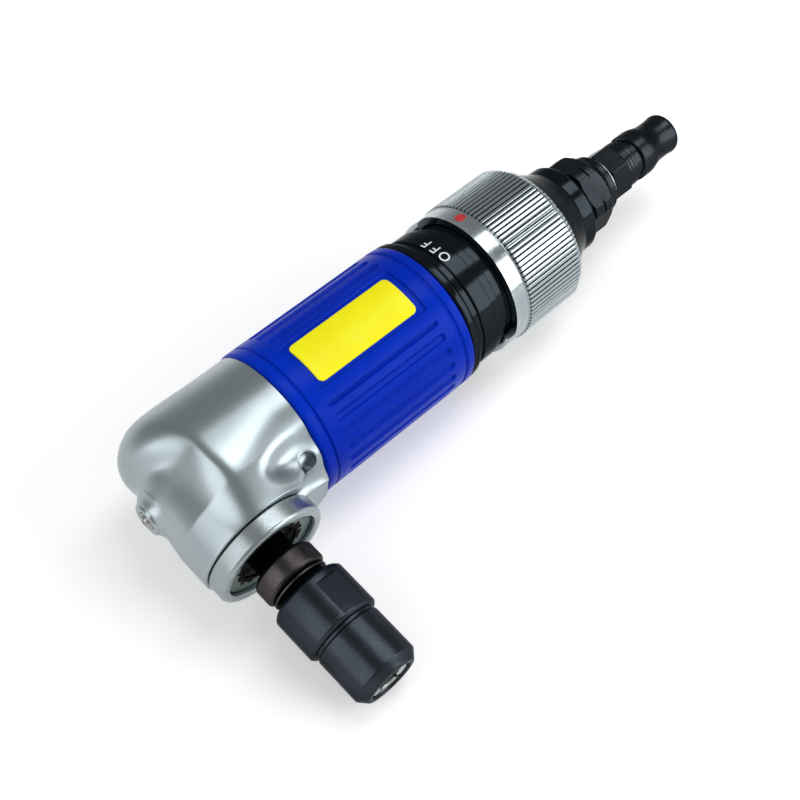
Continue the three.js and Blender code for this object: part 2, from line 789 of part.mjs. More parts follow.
function drivenGear() {
  const back = lowerBearing.station - clearance;
  const hub = rod(drivenRoot.radius, drivenRoot.station - clearance, back);
  const halfPitch = Math.PI / drivenTeeth;
  const bore = rod(gearSeatRadius + clearance, 0, back + overrun);
  const keyStation = drivenRoot.station;
  const keyway = radialBlock(gearKeyLength + 2 * clearance, gearKeyWidth + clearance, 0,
    gearSeatRadius + gearKeyHeight / 2 + clearance, keyStation, Math.PI);
  const blank = bevelTeeth(drivenTeeth, pinionTeeth, halfPitch).add(hub);
  return piece('driven_bevel_gear', blank.subtract(bore).subtract(keyway), groundSteel);
}

function gearKey() {
  const keyStation = drivenRoot.station;
  const inner = gearSeatRadius - gearKeyHeight / 2 + clearance;
  const outer = gearSeatRadius + gearKeyHeight / 2;
  const width = gearKeyWidth - clearance;
  return piece('gear_key', radialBlock(gearKeyLength, width, inner, outer, keyStation, Math.PI), groundSteel);
}

function spindleCirclip() {
  const start = upperBearing.station + upperBearing.width + clearance;
  const ring = tube(spindleRadius + clearance, circlipRadius, start, start + circlipThickness, smallSteps);
  const gap = radialBlock(circlipThickness + 2 * overrun, circlipGap, 0, circlipRadius + overrun,
    start + circlipThickness / 2, 0);
  return piece('spindle_circlip', ring.subtract(gap), groundSteel);
}

function collet() {
  const face = nutEnd - colletSink;
  const headEnd = nutStation + nutThreadLength + clearance;
  const outline = [
    [nutStation, colletBoreRadius], [nutStation, colletRearRadius],
    [spindleEnd, colletSeatRadius - clearance], [headEnd, colletSeatRadius - clearance],
    [headEnd, colletHeadRadius - clearance], [face - colletEdge, colletRadius], [face, colletRadius],
    [face, colletBoreRadius],
  ];
  const slotStart = face - colletSlotLength;
  const slotCentre = (slotStart + face + overrun) / 2;
  const slots = Array.from({ length: colletSlotCount }, (unused, i) =>
    radialBlock(face + overrun - slotStart, colletSlotWidth, 0, nutRadius, slotCentre,
      ((i + 0.5) * 2 * Math.PI) / colletSlotCount));
  const slotted = slots.reduce((body, slot) => body.subtract(slot), turned(outline, mediumSteps));
  return piece('collet', slotted, groundSteel);
}

function colletNut() {
  const shoulder = nutStation + nutShoulder;
  const groove = shoulder + nutGrooveWidth;
  const threadEnd = nutStation + nutThreadLength;
  const outline = [
    [nutStation, nutThreadRadius], [nutStation, nutRadius - nutRearChamfer],
    [nutStation + nutRearChamfer, nutRadius], [shoulder - nutRearChamfer / 2, nutRadius],
    [shoulder, nutRadius - nutRearChamfer / 2], [shoulder, nutGrooveRadius], [groove, nutGrooveRadius],
    [groove, nutFrontRadius], [nutEnd - nutNoseLength, nutFrontRadius], [nutEnd, nutNoseRadius],
    [nutEnd, nutMouthRadius], [nutEnd - nutNoseLength, nutMouthRadius],
    [threadEnd, colletHeadRadius], [threadEnd, nutThreadRadius],
  ];
  const flatStart = nutStation + nutFlatStart;
  const wrench = flats(nutAcross, nutRadius, flatStart, flatStart + nutFlatLength, nutFlatAngle);
  return piece('collet_nut', turned(outline, nutSteps).subtract(wrench), blackedSteel);
}

function bevelPinion() {
  const tail = spigotStart + pinionTail;
  const collar = pinionBearing.station - clearance;
  const shaft = turned([
    [pinionRoot.station - clearance, 0], [pinionRoot.station - clearance, pinionRoot.radius],
    [collar, pinionRoot.radius], [collar, pinionShaftRadius], [tail, pinionShaftRadius],
    [tail, 0],
  ], mediumSteps);
  const socket = driveBlock(driveAcross + 2 * clearance, tail - driveLength, tail + overrun);
  const solid = bevelTeeth(pinionTeeth, drivenTeeth, 0).add(shaft).subtract(socket);
  return piece('bevel_pinion', solid, groundSteel);
}

// The square drive between rotor and pinion.
function driveBlock(across, from, to) {
  const geometry = new THREE.BoxGeometry(to - from, across, across);
  return solidFrom(geometry.translate((from + to) / 2, 0, 0));
}

function pinionSpacer() {
  const end = spacerStart + spacerThickness;
  const solid = tube(spacerBoreRadius, motorBoreRadius - clearance, spacerStart, end, mediumSteps);
  return piece('pinion_spacer', solid, groundSteel);
}

function motorHousing() {
  const threadStart = valveThreadStart - clearance;
  const outline = [
    [spacerStart, motorBoreRadius], [spacerStart, spigotRadius], [headRear, spigotRadius],
    [headRear + clearance, motorRadius], [gripEnd, motorRadius],
    [gripEnd, valveThreadRadius + clearance], [threadStart, valveThreadRadius + clearance],
    [threadStart, motorBoreRadius],
  ];
  return piece('motor_housing', turned(outline, mediumSteps), turnedAluminium);
}

// One end plate of the motor, with the bearing pocket on the side away from the cylinder.
function endPlate(name, start, webFirst) {
  const outer = motorBoreRadius - clearance;
  const pocket = rotorBearing.outer / 2 + clearance;
  const shaftHole = spindleRadius + 2 * clearance;
  const end = start + plateLength;
  const web = webFirst ? [start, start + plateWeb] : [end - plateWeb, end];
  const cup = webFirst ? [web[1], end + overrun] : [start - overrun, web[0]];
  const body = tube(shaftHole, outer, start, end, mediumSteps).subtract(rod(pocket, cup[0], cup[1]));
  const pinHole = dowelHole(web[0] - overrun, web[1] + overrun, pinRadius + clearance);
  return { name, body: body.subtract(pinHole) };
}

function dowelHole(from, to, radius) {
  const circle = (cylinderBoreRadius + cylinderOffset + motorBoreRadius - clearance) / 2;
  return offsetRod(radius, from, to, -circle, 0, holeSteps);
}

function frontEndPlate() {
  const { name, body } = endPlate('front_end_plate', frontPlateStart, false);
  return piece(name, body, groundSteel);
}

function rearEndPlate() {
  const { name, body } = endPlate('rear_end_plate', rearPlateStart, true);
  const portCircle = (rotorBearing.outer / 2 + motorBoreRadius) / 2;
  const ports = Array.from({ length: portCount }, (unused, i) => {
    const angle = Math.PI / 2 + (i - (portCount - 1) / 2) * portPitch;
    return offsetRod(portRadius, rearPlateStart - overrun, rearPlateEnd + overrun,
      portCircle * Math.cos(angle), portCircle * Math.sin(angle), holeSteps);
  });
  return piece(name, ports.reduce((rest, port) => rest.subtract(port), body), groundSteel);
}

function cylinderLiner() {
  const outer = rod(motorBoreRadius - clearance, cylinderStart, cylinderEnd);
  const bore = offsetRod(cylinderBoreRadius, cylinderStart - overrun, cylinderEnd + overrun,
    cylinderOffset, 0, mediumSteps);
  const pinHole = dowelHole(cylinderStart - overrun, cylinderEnd + overrun, pinRadius + clearance);
  const solid = outer.subtract(bore).subtract(pinHole);
  return piece('cylinder_liner', solid, groundSteel);
}

function dowelPin() {
  const from = cylinderStart - plateWeb;
  return piece('dowel_pin', dowelHole(from, cylinderEnd + plateWeb, pinRadius), groundSteel);
}

function rotor() {
  const start = cylinderStart + clearance;
  const end = cylinderEnd - clearance;
  const frontTip = spigotStart + pinionTail + clearance;
  const rearTip = rearPlateEnd - clearance;
  const body = turned([
    [frontTip, 0], [frontTip, spindleRadius], [start, spindleRadius], [start, rotorRadius],
    [end, rotorRadius], [end, spindleRadius], [rearTip, spindleRadius], [rearTip, 0],
  ], mediumSteps);
  const tang = driveBlock(driveAcross, frontTip - driveLength, frontTip + overrun);
  const slots = vaneAngles().map((angle) =>
    radialBlock(end - start + 2 * overrun, vaneThickness + 2 * clearance,
      rotorRadius - vaneDepth - 2 * clearance, rotorRadius + overrun, (start + end) / 2, angle));
  const solid = slots.reduce((rest, slot) => rest.subtract(slot), body.add(tang));
  return piece('rotor', solid, groundSteel);
}

function vaneAngles() {
  return Array.from({ length: vaneCount }, (unused, i) => vaneStartAngle + (i * 2 * Math.PI) / vaneCount);
}

function vanes() {
  const length = cylinderLength - 2 * clearance - clearance;
  const solid = radialBlock(length, vaneThickness, rotorRadius - vaneDepth - clearance,
    rotorRadius - clearance, (cylinderStart + cylinderEnd) / 2, 0);
  return vaneAngles().map((angle, i) => {
    const mesh = piece(`vane_${i + 1}`, solid, vaneFibre);
    mesh.rotation.x = angle;
    return mesh;
  });
}

function motorGasket() {
  const inner = rotorBearing.outer / 2 + gasketMargin;
  const outer = motorBoreRadius - clearance;
  const solid = tube(inner, outer, gasketStart, gasketStart + gasketThickness, mediumSteps);
  return piece('motor_gasket', solid, blackRubber);
}

// A bar with a rounded outline that stands on a radius of the X axis.
function roundedBar(length, width, from, to, station, angle, roundness) {
  const shape = new THREE.Shape();
  const halfLength = length / 2 - roundness;
  const halfWidth = width / 2 - roundness;
  shape.absarc(halfLength, halfWidth, roundness, 0, Math.PI / 2, false);
  shape.absarc(-halfLength, halfWidth, roundness, Math.PI / 2, Math.PI, false);
  shape.absarc(-halfLength, -halfWidth, roundness, Math.PI, 1.5 * Math.PI, false);
  shape.absarc(halfLength, -halfWidth, roundness, 1.5 * Math.PI, 2 * Math.PI, false);
  const settings = { depth: to - from, bevelEnabled: false, curveSegments: cornerSteps };
  const geometry = new THREE.ExtrudeGeometry(shape, settings).translate(0, 0, from);
  return solidFrom(geometry.rotateX(angle - Math.PI / 2).translate(station + length / 2, 0, 0));
}

// The three points of a shallow V groove round the sleeve.
function gripGroove(start, width) {
  const from = gripStart + start;
  return [
    [from, gripRadius], [from + width / 2, gripRadius - gripGrooveDepth], [from + width, gripRadius],
  ];
}

function gripSleeve() {
  const inner = gripRadius - gripWall;
  const profile = [
    [gripStart, inner], [gripStart, gripRadius - gripEdge], [gripStart + gripEdge, gripRadius],
    ...gripGroove(frontGroove, frontGrooveWidth),
    ...gripGroove(gripLength - rearGroove, rearGrooveWidth),
    [gripEnd - gripEdge / 2, gripRadius], [gripEnd, gripRadius - gripEdge / 2], [gripEnd, inner],
  ];
  const span = 2 * Math.PI - 2 * fluteGap;
  const fluteLength = gripLength - fluteStart - fluteEndMargin;
  const recessLength = gripLength - recessStart - recessEndMargin;
  const top = gripRadius + overrun;
  const floor = gripRadius - fluteDepth;
  const fluteRound = (fluteWidth / 2) * fluteRoundShare;
  const flutes = Array.from({ length: fluteCount }, (unused, i) => {
    const angle = labelAngle + fluteGap + (span * i) / (fluteCount - 1);
    return roundedBar(fluteLength, fluteWidth, floor, top, gripStart + fluteStart, angle, fluteRound);
  });
  const opening = roundedBar(recessLength, recessWidth, 0, top, gripStart + recessStart, labelAngle,
    recessCorner);
  const recess = opening.subtract(rod(gripRadius - recessDepth, gripStart, gripEnd, largeSteps));
  const body = flutes.reduce((rest, flute) => rest.subtract(flute), turned(profile));
  return piece('grip_sleeve', body.subtract(recess), bluePlastic);
}

function labelPlate() {
  const floor = gripRadius - recessDepth + clearance;
  const shell = tube(floor, floor + labelThickness, gripStart, gripEnd);
  const length = gripLength - recessStart - recessEndMargin - 2 * labelInset;
  const width = recessWidth - 2 * labelSideInset;
  const start = gripStart + recessStart + labelInset;
  const blank = roundedBar(length, width, 0, gripRadius + overrun, start, labelAngle, labelCorner);
  return piece('label_plate', blank.intersect(shell), yellowLabel);
}

const oRingWire = (oRingGroove - clearance) / 2;
const frontORing = knurlStart + oRingInset;
const rearORing = knurlStart + knurlLength - oRingInset - ringSeatDepth;

const ballRest = valveCoreRadius + clearance - ballRadius * ballSinkShare;
const springTop = ballRest - ballRadius - ballTravel - clearance;

function valveBody() {
  const disc = valveStart + valveDiscLength;
  const bandEnd = bandStart + valveBandLength;
  const snapRadius = valveCoreRadius - snapRingDepth;
  const snapEnd = snapRingStart + snapRingThickness + clearance;
  const outline = [
    [valveThreadStart, 0], [valveThreadStart, valveThreadRadius], [valveStart, valveThreadRadius],
    [valveStart, valveDiscRadius], [disc, valveDiscRadius], [disc, valveNeckRadius],
    [bandStart, valveNeckRadius],
    [bandStart, valveBandRadius], [bandEnd, valveBandRadius], [bandEnd, valveStepRadius],
    [valveWindowStart, valveStepRadius], [valveWindowStart, valveWindowRadius],
    [knurlStart, valveWindowRadius], [knurlStart, 0],
  ];
  const core = turned([
    [bandStart, 0], [bandStart, valveCoreRadius], ...oRingSeat(frontORing), ...oRingSeat(rearORing),
    [snapRingStart - clearance, valveCoreRadius], [snapRingStart - clearance, snapRadius],
    [snapEnd, snapRadius], [snapEnd, valveCoreRadius], [valveEnd, valveCoreRadius], [valveEnd, 0],
  ], mediumSteps);
  const mouth = valveEnd - bushingThreadLength;
  const inlet = turned([
    [bandStart, 0], [bandStart, valvePassageRadius], [mouth, valvePassageRadius],
    [mouth, bushingThreadRadius + clearance], [valveEnd + overrun, bushingThreadRadius + clearance],
    [valveEnd + overrun, 0],
  ], mediumSteps);
  const feed = offsetRod(feedHoleRadius, valveThreadStart - overrun, bandStart + overrun,
    valvePassageRadius - feedHoleRadius, 0, holeSteps);
  const exhausts = Array.from({ length: exhaustHoleCount }, (unused, i) => {
    const angle = ((i + 0.5) * 2 * Math.PI) / exhaustHoleCount;
    return offsetRod(exhaustHoleRadius, valveThreadStart - overrun, valveEnd + overrun,
      exhaustHoleCircle * Math.cos(angle), exhaustHoleCircle * Math.sin(angle), holeSteps);
  });
  const ballHole = radialRod(ballRadius + clearance, springTop - springLength - clearance,
    valveCoreRadius + overrun, ballStation, Math.PI);
  const cuts = [inlet, feed, ballHole, ...exhausts];
  const solid = cuts.reduce((rest, cut) => rest.subtract(cut), turned(outline).add(core));
  return piece('valve_body', solid, blackAnodised);
}

// Profile points of one O-ring groove.
function oRingSeat(station) {
  const halfWidth = oRingWire + clearance;
  const floor = valveCoreRadius - oRingGroove;
  return [
    [station - halfWidth, valveCoreRadius], [station - halfWidth, floor], [station + halfWidth, floor],
    [station + halfWidth, valveCoreRadius],
  ];
}

// A toothed outline for the knurl: two points for each tooth.
function knurlOutline() {
  const points = Array.from({ length: 2 * knurlCount }, (unused, i) => {
    const angle = (i * Math.PI) / knurlCount;
    const radius = i % 2 === 0 ? throttleRadius : throttleRadius - knurlDepth;
    return new THREE.Vector2(radius * Math.cos(angle), radius * Math.sin(angle));
  });
  return new THREE.Shape(points);
}

function throttleRing() {
  const envelope = turned([
    [throttleStart, 0], [throttleStart, throttleBandRadius - throttleEdge],
    [throttleStart + throttleEdge, throttleBandRadius], [knurlStart, throttleBandRadius],
    [knurlStart, throttleRadius - knurlDepth], [knurlStart + knurlDepth, throttleRadius],
    [throttleEnd - knurlChamfer, throttleRadius], [throttleEnd, throttleRadius - knurlChamferDrop],
    [throttleEnd, 0],
  ]);
  const smooth = rod(throttleBandRadius, throttleStart, knurlStart + clearance, largeSteps);
  const knurled = extruded(knurlOutline(), knurlStart, throttleEnd);
  const seat = throttleEnd - ringSeatDepth;
  const bore = turned([
    [throttleStart - overrun, 0], [throttleStart - overrun, valveWindowRadius + clearance],
    [knurlStart + clearance, valveWindowRadius + clearance],
    [knurlStart + clearance, valveCoreRadius + clearance], [seat, valveCoreRadius + clearance],
    [seat, valveCoreRadius + snapRingDepth + clearance],
    [throttleEnd + overrun, valveCoreRadius + snapRingDepth + clearance], [throttleEnd + overrun, 0],
  ]);
  const window = sector(valveCoreRadius, throttleRadius + overrun, windowStart, windowEnd,
    throttleStart - overrun, throttleBandStart);
  const groove = 2 * clearance;
  const halfBall = Math.asin((ballRadius + groove) / valveCoreRadius);
  const track = sector(valveCoreRadius - overrun, valveCoreRadius + ballRadius,
    Math.PI - halfBall - throttleTurn, Math.PI + halfBall, ballStation - ballRadius - groove,
    ballStation + ballRadius + groove);
  const dimple = radialRod(dotRadius + clearance, throttleBandRadius - dotDepth,
    throttleBandRadius + overrun, throttleStart + dotStation, dotAngle);
  const body = smooth.add(knurled).intersect(envelope);
  const solid = [bore, window, track, dimple].reduce((rest, cut) => rest.subtract(cut), body);
  return piece('throttle_ring', solid, turnedAluminium);
}

function indexDot() {
  const floor = throttleBandRadius - dotDepth + clearance;
  const solid = radialRod(dotRadius, floor, floor + dotThickness, throttleStart + dotStation, dotAngle);
  return piece('index_dot', solid, redPaint);
}

function detentBall() {
  const ball = new THREE.SphereGeometry(ballRadius, smallSteps, smallSteps / 2);
  const mesh = piece('detent_ball', solidFrom(ball), groundSteel);
  mesh.position.set(ballStation, -ballRest, 0);
  return mesh;
}

function detentSpring() {
  const start = springTop - springLength;
  const outer = radialRod(springRadius, start, springTop, ballStation, Math.PI);
  const hole = radialRod(springRadius / 2, start - overrun, springTop + overrun, ballStation, Math.PI);
  return piece('detent_spring', outer.subtract(hole), groundSteel);
}

function oRing(name, station) {
  const centreRadius = valveCoreRadius - oRingGroove + clearance + oRingWire;
  return piece(name, roundRing(centreRadius, oRingWire, station, oRingSides), blackRubber);
}

function snapRing() {
  const inner = valveCoreRadius - snapRingDepth + clearance;
  const outer = valveCoreRadius + snapRingDepth;
  const ring = tube(inner, outer, snapRingStart, snapRingStart + snapRingThickness);
  const gap = radialBlock(2 * overrun + snapRingThickness, snapRingGap, 0, outer + overrun,
    snapRingStart + snapRingThickness / 2, -Math.PI / 2);
  return piece('retaining_ring', ring.subtract(gap), groundSteel);
}

function exhaustCap() {
  const bore = bushingThreadRadius + clearance;
  const chamberInner = bore + exhaustWall;
  const chamberOuter = chamberInner + silencerWall + 2 * clearance;
  const chamberEnd = exhaustStart + silencerLength + clearance;
  const coneStart = exhaustStart + exhaustRim;
  const coneDrop = exhaustRimRadius - exhaustFlangeRadius;
  const noseStart = flangeStart + exhaustFlange;
  const noseDrop = exhaustFlangeRadius - exhaustNoseRadius;
  const outline = [
    [exhaustStart, exhaustRimRadius], [coneStart, exhaustRimRadius],
    [coneStart + exhaustCone * exhaustConeLengthShare, exhaustRimRadius - coneDrop * exhaustConeDropShare],
    [flangeStart, exhaustFlangeRadius], [noseStart, exhaustFlangeRadius],
    [noseStart + exhaustNose / 2, exhaustFlangeRadius - noseDrop * exhaustNoseShare],
    [exhaustEnd, exhaustNoseRadius], [exhaustEnd, bore], [exhaustStart, bore],
    [exhaustStart, chamberInner], [chamberEnd, chamberInner], [chamberEnd, chamberOuter],
    [coneStart, exhaustRimRadius - exhaustWall], [exhaustStart, exhaustRimRadius - exhaustWall],
  ];
  return piece('exhaust_cap', turned(outline), blackAnodised);
}

function silencer() {
  const inner = bushingThreadRadius + exhaustWall + 2 * clearance;
  const solid = tube(inner, inner + silencerWall, exhaustStart, exhaustStart + silencerLength, mediumSteps);
  return piece('silencer_ring', solid, greyFelt);
}

function inletBushing() {
  const threadStart = valveEnd - bushingThreadLength + clearance;
  const bevelStart = bushingHexEnd - bushingBevel;
  const hexRound = turned([
    [bushingStart, 0], [bushingStart, bushingAcross / 2],
    [bushingStart + bushingBevel / 2, bushingCornerRadius], [bevelStart, bushingCornerRadius],
    [bushingHexEnd, bushingCornerRadius - bushingBevel], [bushingHexEnd, 0],
  ], mediumSteps);
  const middle = (bushingStart + bushingHexEnd) / 2;
  const score = tube(bushingCornerRadius - bushingScoreDepth, bushingCornerRadius + overrun,
    middle - bushingScore / 2, middle + bushingScore / 2, mediumSteps);
  const bar = hexagon(bushingAcross, bushingFlatAngle, bushingStart, bushingHexEnd);
  const hex = bar.intersect(hexRound).subtract(score);
  const seat = bushingEnd - plugThreadLength - clearance;
  const core = turned([
    [threadStart, 0], [threadStart, bushingThreadRadius], [bushingStart + clearance, bushingThreadRadius],
    [bushingHexEnd - clearance, bushingAcross / 2 - clearance],
    [bushingHexEnd + bushingShoulder * bushingFilletShare, bushingShoulderRadius],
    [bushingEnd - clearance, bushingShoulderRadius], [bushingEnd, bushingShoulderRadius - clearance],
    [bushingEnd, 0],
  ], mediumSteps);
  const bore = turned([
    [threadStart - overrun, 0], [threadStart - overrun, bushingBoreRadius], [seat, bushingBoreRadius],
    [seat, plugThreadRadius + clearance], [bushingEnd + overrun, plugThreadRadius + clearance],
    [bushingEnd + overrun, 0],
  ], mediumSteps);
  return piece('inlet_bushing', hex.add(core).subtract(bore), blackAnodised);
}

function inletScreen() {
  const start = bushingStart;
  const radius = bushingBoreRadius - clearance;
  const holes = Array.from({ length: screenHoleCount }, (unused, i) => {
    const angle = (i * 2 * Math.PI) / screenHoleCount;
    return offsetRod(screenHoleRadius, start - overrun, start + screenThickness + overrun,
      screenHoleCircle * Math.cos(angle), screenHoleCircle * Math.sin(angle), holeSteps);
  });
  const disc = rod(radius, start, start + screenThickness, smallSteps);
  return piece('inlet_screen', holes.reduce((rest, hole) => rest.subtract(hole), disc), brass);
}

function plugWasher() {
  const inner = plugThreadRadius + clearance;
  const outer = bushingShoulderRadius - clearance;
  const solid = tube(inner, outer, washerStart, washerStart + washerThickness, mediumSteps);
  return piece('plug_washer', solid, groundSteel);
}

function airPlug() {
  const threadStart = plugStart - plugThreadLength;
  const hexEnd = plugStart + plugHex;
  const shoulderEnd = hexEnd + plugShoulder;
  const grooveEnd = shoulderEnd + plugGroove;
  const bulgeEnd = grooveEnd + plugBulge;
  const slopeEnd = bulgeEnd + plugSlope;
  const waistEnd = slopeEnd + plugWaist;
  const flareEnd = waistEnd + plugFlare;
  const tipEnd = flareEnd + plugTip;
  const slope = Array.from({ length: plugSlopeSteps }, (unused, i) => {
    const share = (i + 1) / plugSlopeSteps;
    const drop = ((plugBulgeRadius - plugWaistRadius) * (1 - Math.cos(share * Math.PI))) / 2;
    return [bulgeEnd + plugSlope * share, plugBulgeRadius - drop];
  });
  const tip = Array.from({ length: plugTipSteps }, (unused, i) => {
    const angle = ((i + 1) / plugTipSteps) * (Math.PI / 2);
    const drop = (plugFlareRadius - plugTipRadius) * (1 - Math.cos(angle));
    return [flareEnd + plugTip * Math.sin(angle), plugFlareRadius - drop];
  });
  const profile = [
    [threadStart, 0], [threadStart, plugThreadRadius], [plugStart, plugThreadRadius],
    [plugStart, plugCornerRadius - clearance], [plugStart + clearance, plugCornerRadius],
    [hexEnd - clearance, plugCornerRadius], [hexEnd, plugShoulderRadius],
    [shoulderEnd, plugShoulderRadius], [shoulderEnd, plugGrooveRadius], [grooveEnd, plugGrooveRadius],
    [grooveEnd + clearance, plugBulgeRadius], [bulgeEnd, plugBulgeRadius], ...slope,
    [waistEnd, plugWaistRadius], [flareEnd, plugFlareRadius], ...tip, [tipEnd, 0],
  ];
  const hexZone = tube(plugThreadRadius + clearance, plugCornerRadius + overrun, plugStart - overrun, hexEnd);
  const hexBar = hexagon(plugAcross, plugFlatAngle, plugStart - 2 * overrun, hexEnd + overrun);
  const bore = rod(plugBoreRadius, threadStart - overrun, tipEnd + overrun, mediumSteps);
  const body = turned(profile, mediumSteps).subtract(hexZone.subtract(hexBar)).subtract(bore);
  return piece('air_plug', body, blackedSteel);
}

// Everything that is turned about the spindle is made along X and stood on its axis.
function spindleGroup() {
  const group = new THREE.Group();
  group.rotation.z = -Math.PI / 2;
  group.add(bearing('upper_bearing', upperBearing, upperBearing.station));
  group.add(bearing('lower_bearing', lowerBearing, lowerBearing.station));
  group.add(bearingCap(), dustShield(), spindleSeal(), spindle(), drivenGear(), gearKey());
  group.add(spindleCirclip(), collet(), colletNut());
  return group;
}

function barrelGroup() {
  const group = new THREE.Group();
  group.add(angleHousing(), greaseFitting(), greaseBall(), greaseSpring());
  group.add(bevelPinion(), bearing('pinion_bearing', pinionBearing, pinionBearing.station), pinionSpacer());
  group.add(motorHousing(), gripSleeve(), labelPlate(), frontEndPlate(), rearEndPlate());
  group.add(bearing('rotor_front_bearing', rotorBearing, frontPlateStart));
  group.add(bearing('rotor_rear_bearing', rotorBearing, rearPlateEnd - rotorBearing.width));
  group.add(cylinderLiner(), dowelPin(), rotor(), ...vanes(), motorGasket());
  group.add(valveBody(), throttleRing(), indexDot(), detentBall(), detentSpring());
  group.add(oRing('throttle_oring_front', frontORing), oRing('throttle_oring_rear', rearORing), snapRing());
  group.add(exhaustCap(), silencer(), inletBushing(), inletScreen(), plugWasher(), airPlug());
  return group;
}

// The tool lies on its side: it rolls about the barrel until the nut's nose edge meets the floor
// that the knurled ring lies on.
function layDown(tool) {
  const noseStation = nutEnd - nutNoseLength;
  const reach = Math.hypot(noseStation, nutFrontRadius);
  tool.rotation.x = Math.asin(throttleRadius / reach) - Math.atan2(nutFrontRadius, noseStation);
  tool.updateMatrixWorld(true);
  const box = new THREE.Box3().setFromObject(tool, true);
  const centre = box.getCenter(new THREE.Vector3());
  tool.position.set(-centre.x, -centre.y, -box.min.z);
}

const dieGrinder = new THREE.Group();
dieGrinder.add(barrelGroup(), spindleGroup());
layDown(dieGrinder);

export default dieGrinder;
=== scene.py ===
import json
import math

import bmesh
import bpy
import numpy as np
from mathutils import Euler, Matrix, Vector


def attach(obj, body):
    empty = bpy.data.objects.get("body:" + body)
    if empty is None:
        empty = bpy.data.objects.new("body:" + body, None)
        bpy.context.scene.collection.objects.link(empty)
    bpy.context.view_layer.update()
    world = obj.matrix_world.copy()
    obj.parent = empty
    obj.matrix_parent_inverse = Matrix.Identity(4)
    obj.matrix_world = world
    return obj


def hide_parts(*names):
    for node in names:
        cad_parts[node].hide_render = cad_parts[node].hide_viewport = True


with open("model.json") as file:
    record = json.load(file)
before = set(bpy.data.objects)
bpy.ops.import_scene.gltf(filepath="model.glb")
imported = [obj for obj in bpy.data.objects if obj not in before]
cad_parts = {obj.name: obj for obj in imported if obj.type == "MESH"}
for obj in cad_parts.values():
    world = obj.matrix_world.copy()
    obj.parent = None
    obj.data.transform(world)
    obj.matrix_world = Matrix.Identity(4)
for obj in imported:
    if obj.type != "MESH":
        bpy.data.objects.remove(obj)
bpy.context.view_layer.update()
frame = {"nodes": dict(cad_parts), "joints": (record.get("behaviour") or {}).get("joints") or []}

scene = bpy.context.scene
mm = 0.001

# Everything is built along its own axis in millimetres and laid down here, as the tool lies on its
# side. The spindle's joint says where the two axes meet and how far the spindle leans.
spindleJoint = next(joint for joint in frame["joints"] if joint["name"] == "spindle_spin")
toolTilt = math.asin(-spindleJoint["axis"][2])
barrelFrame = Matrix.Translation(Vector(spindleJoint["pos_m"])) @ Matrix.Rotation(toolTilt, 4, "X")
spindleFrame = barrelFrame @ Matrix.Rotation(-math.pi / 2, 4, "Z")


def tone(red, green, blue):
    return tuple((c / 255 / 12.92 if c / 255 <= 0.04045 else ((c / 255 + 0.055) / 1.055) ** 2.4)
                 for c in (red, green, blue)) + (1.0,)


# shader helpers: a node with its inputs, and a group with its sockets
def makeNode(tree, kind, inputs=None, **settings):
    node = tree.nodes.new(kind)
    for key, value in settings.items():
        setattr(node, key, value)
    for key, value in (inputs or {}).items():
        if isinstance(value, bpy.types.NodeSocket):
            tree.links.new(value, node.inputs[key])
        else:
            node.inputs[key].default_value = value
    return node


def newGroup(name, inputs, output, maker):
    # an effect that all finishes share: the maker turns the group's inputs into its one output
    tree = bpy.data.node_groups.new(name, "ShaderNodeTree")
    for label, value in {"Vector": None, **inputs}.items():
        kind = "NodeSocketFloat" if isinstance(value, float) else "NodeSocketVector"
        socket = tree.interface.new_socket(label, in_out="INPUT", socket_type=kind)
        if value is not None:
            socket.default_value = value
    tree.interface.new_socket(output, in_out="OUTPUT", socket_type="NodeSocketFloat")
    given = tree.nodes.new("NodeGroupInput").outputs
    result = tree.nodes.new("NodeGroupOutput").inputs[output]
    tree.links.new(maker(tree, given), result)
    return tree


def mathNode(tree, operation, a, b=0.5, clamp=False):
    return makeNode(tree, "ShaderNodeMath", {0: a, 1: b}, operation=operation, use_clamp=clamp).outputs[0]


def times(tree, a, b):
    return mathNode(tree, "MULTIPLY", a, b)


def plus(tree, a, b):
    return mathNode(tree, "ADD", a, b)


def minus(tree, a, b):
    return mathNode(tree, "SUBTRACT", a, b)


def noiseAt(tree, vector, scale, detail):
    inputs = {"Vector": vector, "Scale": scale, "Detail": detail}
    return makeNode(tree, "ShaderNodeTexNoise", inputs).outputs[0]


def ramp(tree, value, low, high, outLow=0.0, outHigh=1.0):
    inputs = {"Value": value, "From Min": low, "From Max": high, "To Min": outLow, "To Max": outHigh}
    return makeNode(tree, "ShaderNodeMapRange", inputs, interpolation_type="SMOOTHSTEP").outputs[0]


def edgeMask(tree, value, edge, rising=True):
    # a mask that comes up, or goes down, between the two places of the edge
    low, high = edge
    return ramp(tree, value, low * mm, high * mm, *((0.0, 1.0) if rising else (1.0, 0.0)))


def stationAndRadius(tree, vector):
    split = makeNode(tree, "ShaderNodeSeparateXYZ", {0: vector}).outputs
    squares = [times(tree, split[i], split[i]) for i in (1, 2)]
    return split[0], mathNode(tree, "SQRT", plus(tree, *squares))


def grainMask(tree, given):
    noise = noiseAt(tree, given["Vector"], given["Scale"], given["Detail"])
    low, high = minus(tree, 0.5, given["Spread"]), plus(tree, given["Spread"], 0.5)
    return ramp(tree, noise, low, high)


def turningHeight(tree, given):
    # fine rings left by the lathe: they follow the station and the radius, not the angle
    station, radius = stationAndRadius(tree, given["Vector"])
    drift = times(tree, noiseAt(tree, given["Vector"], 60.0, 1.0), given["Waver"])
    along, across = (plus(tree, times(tree, way, given["Rings"]), drift) for way in (station, radius))
    place = makeNode(tree, "ShaderNodeCombineXYZ", {0: along, 1: across}).outputs[0]
    rings = makeNode(tree, "ShaderNodeTexNoise", {"Vector": place, "Scale": 1.0, "Detail": 2.0},
                     noise_dimensions="2D")
    return ramp(tree, rings.outputs[0], 0.25, 0.75)


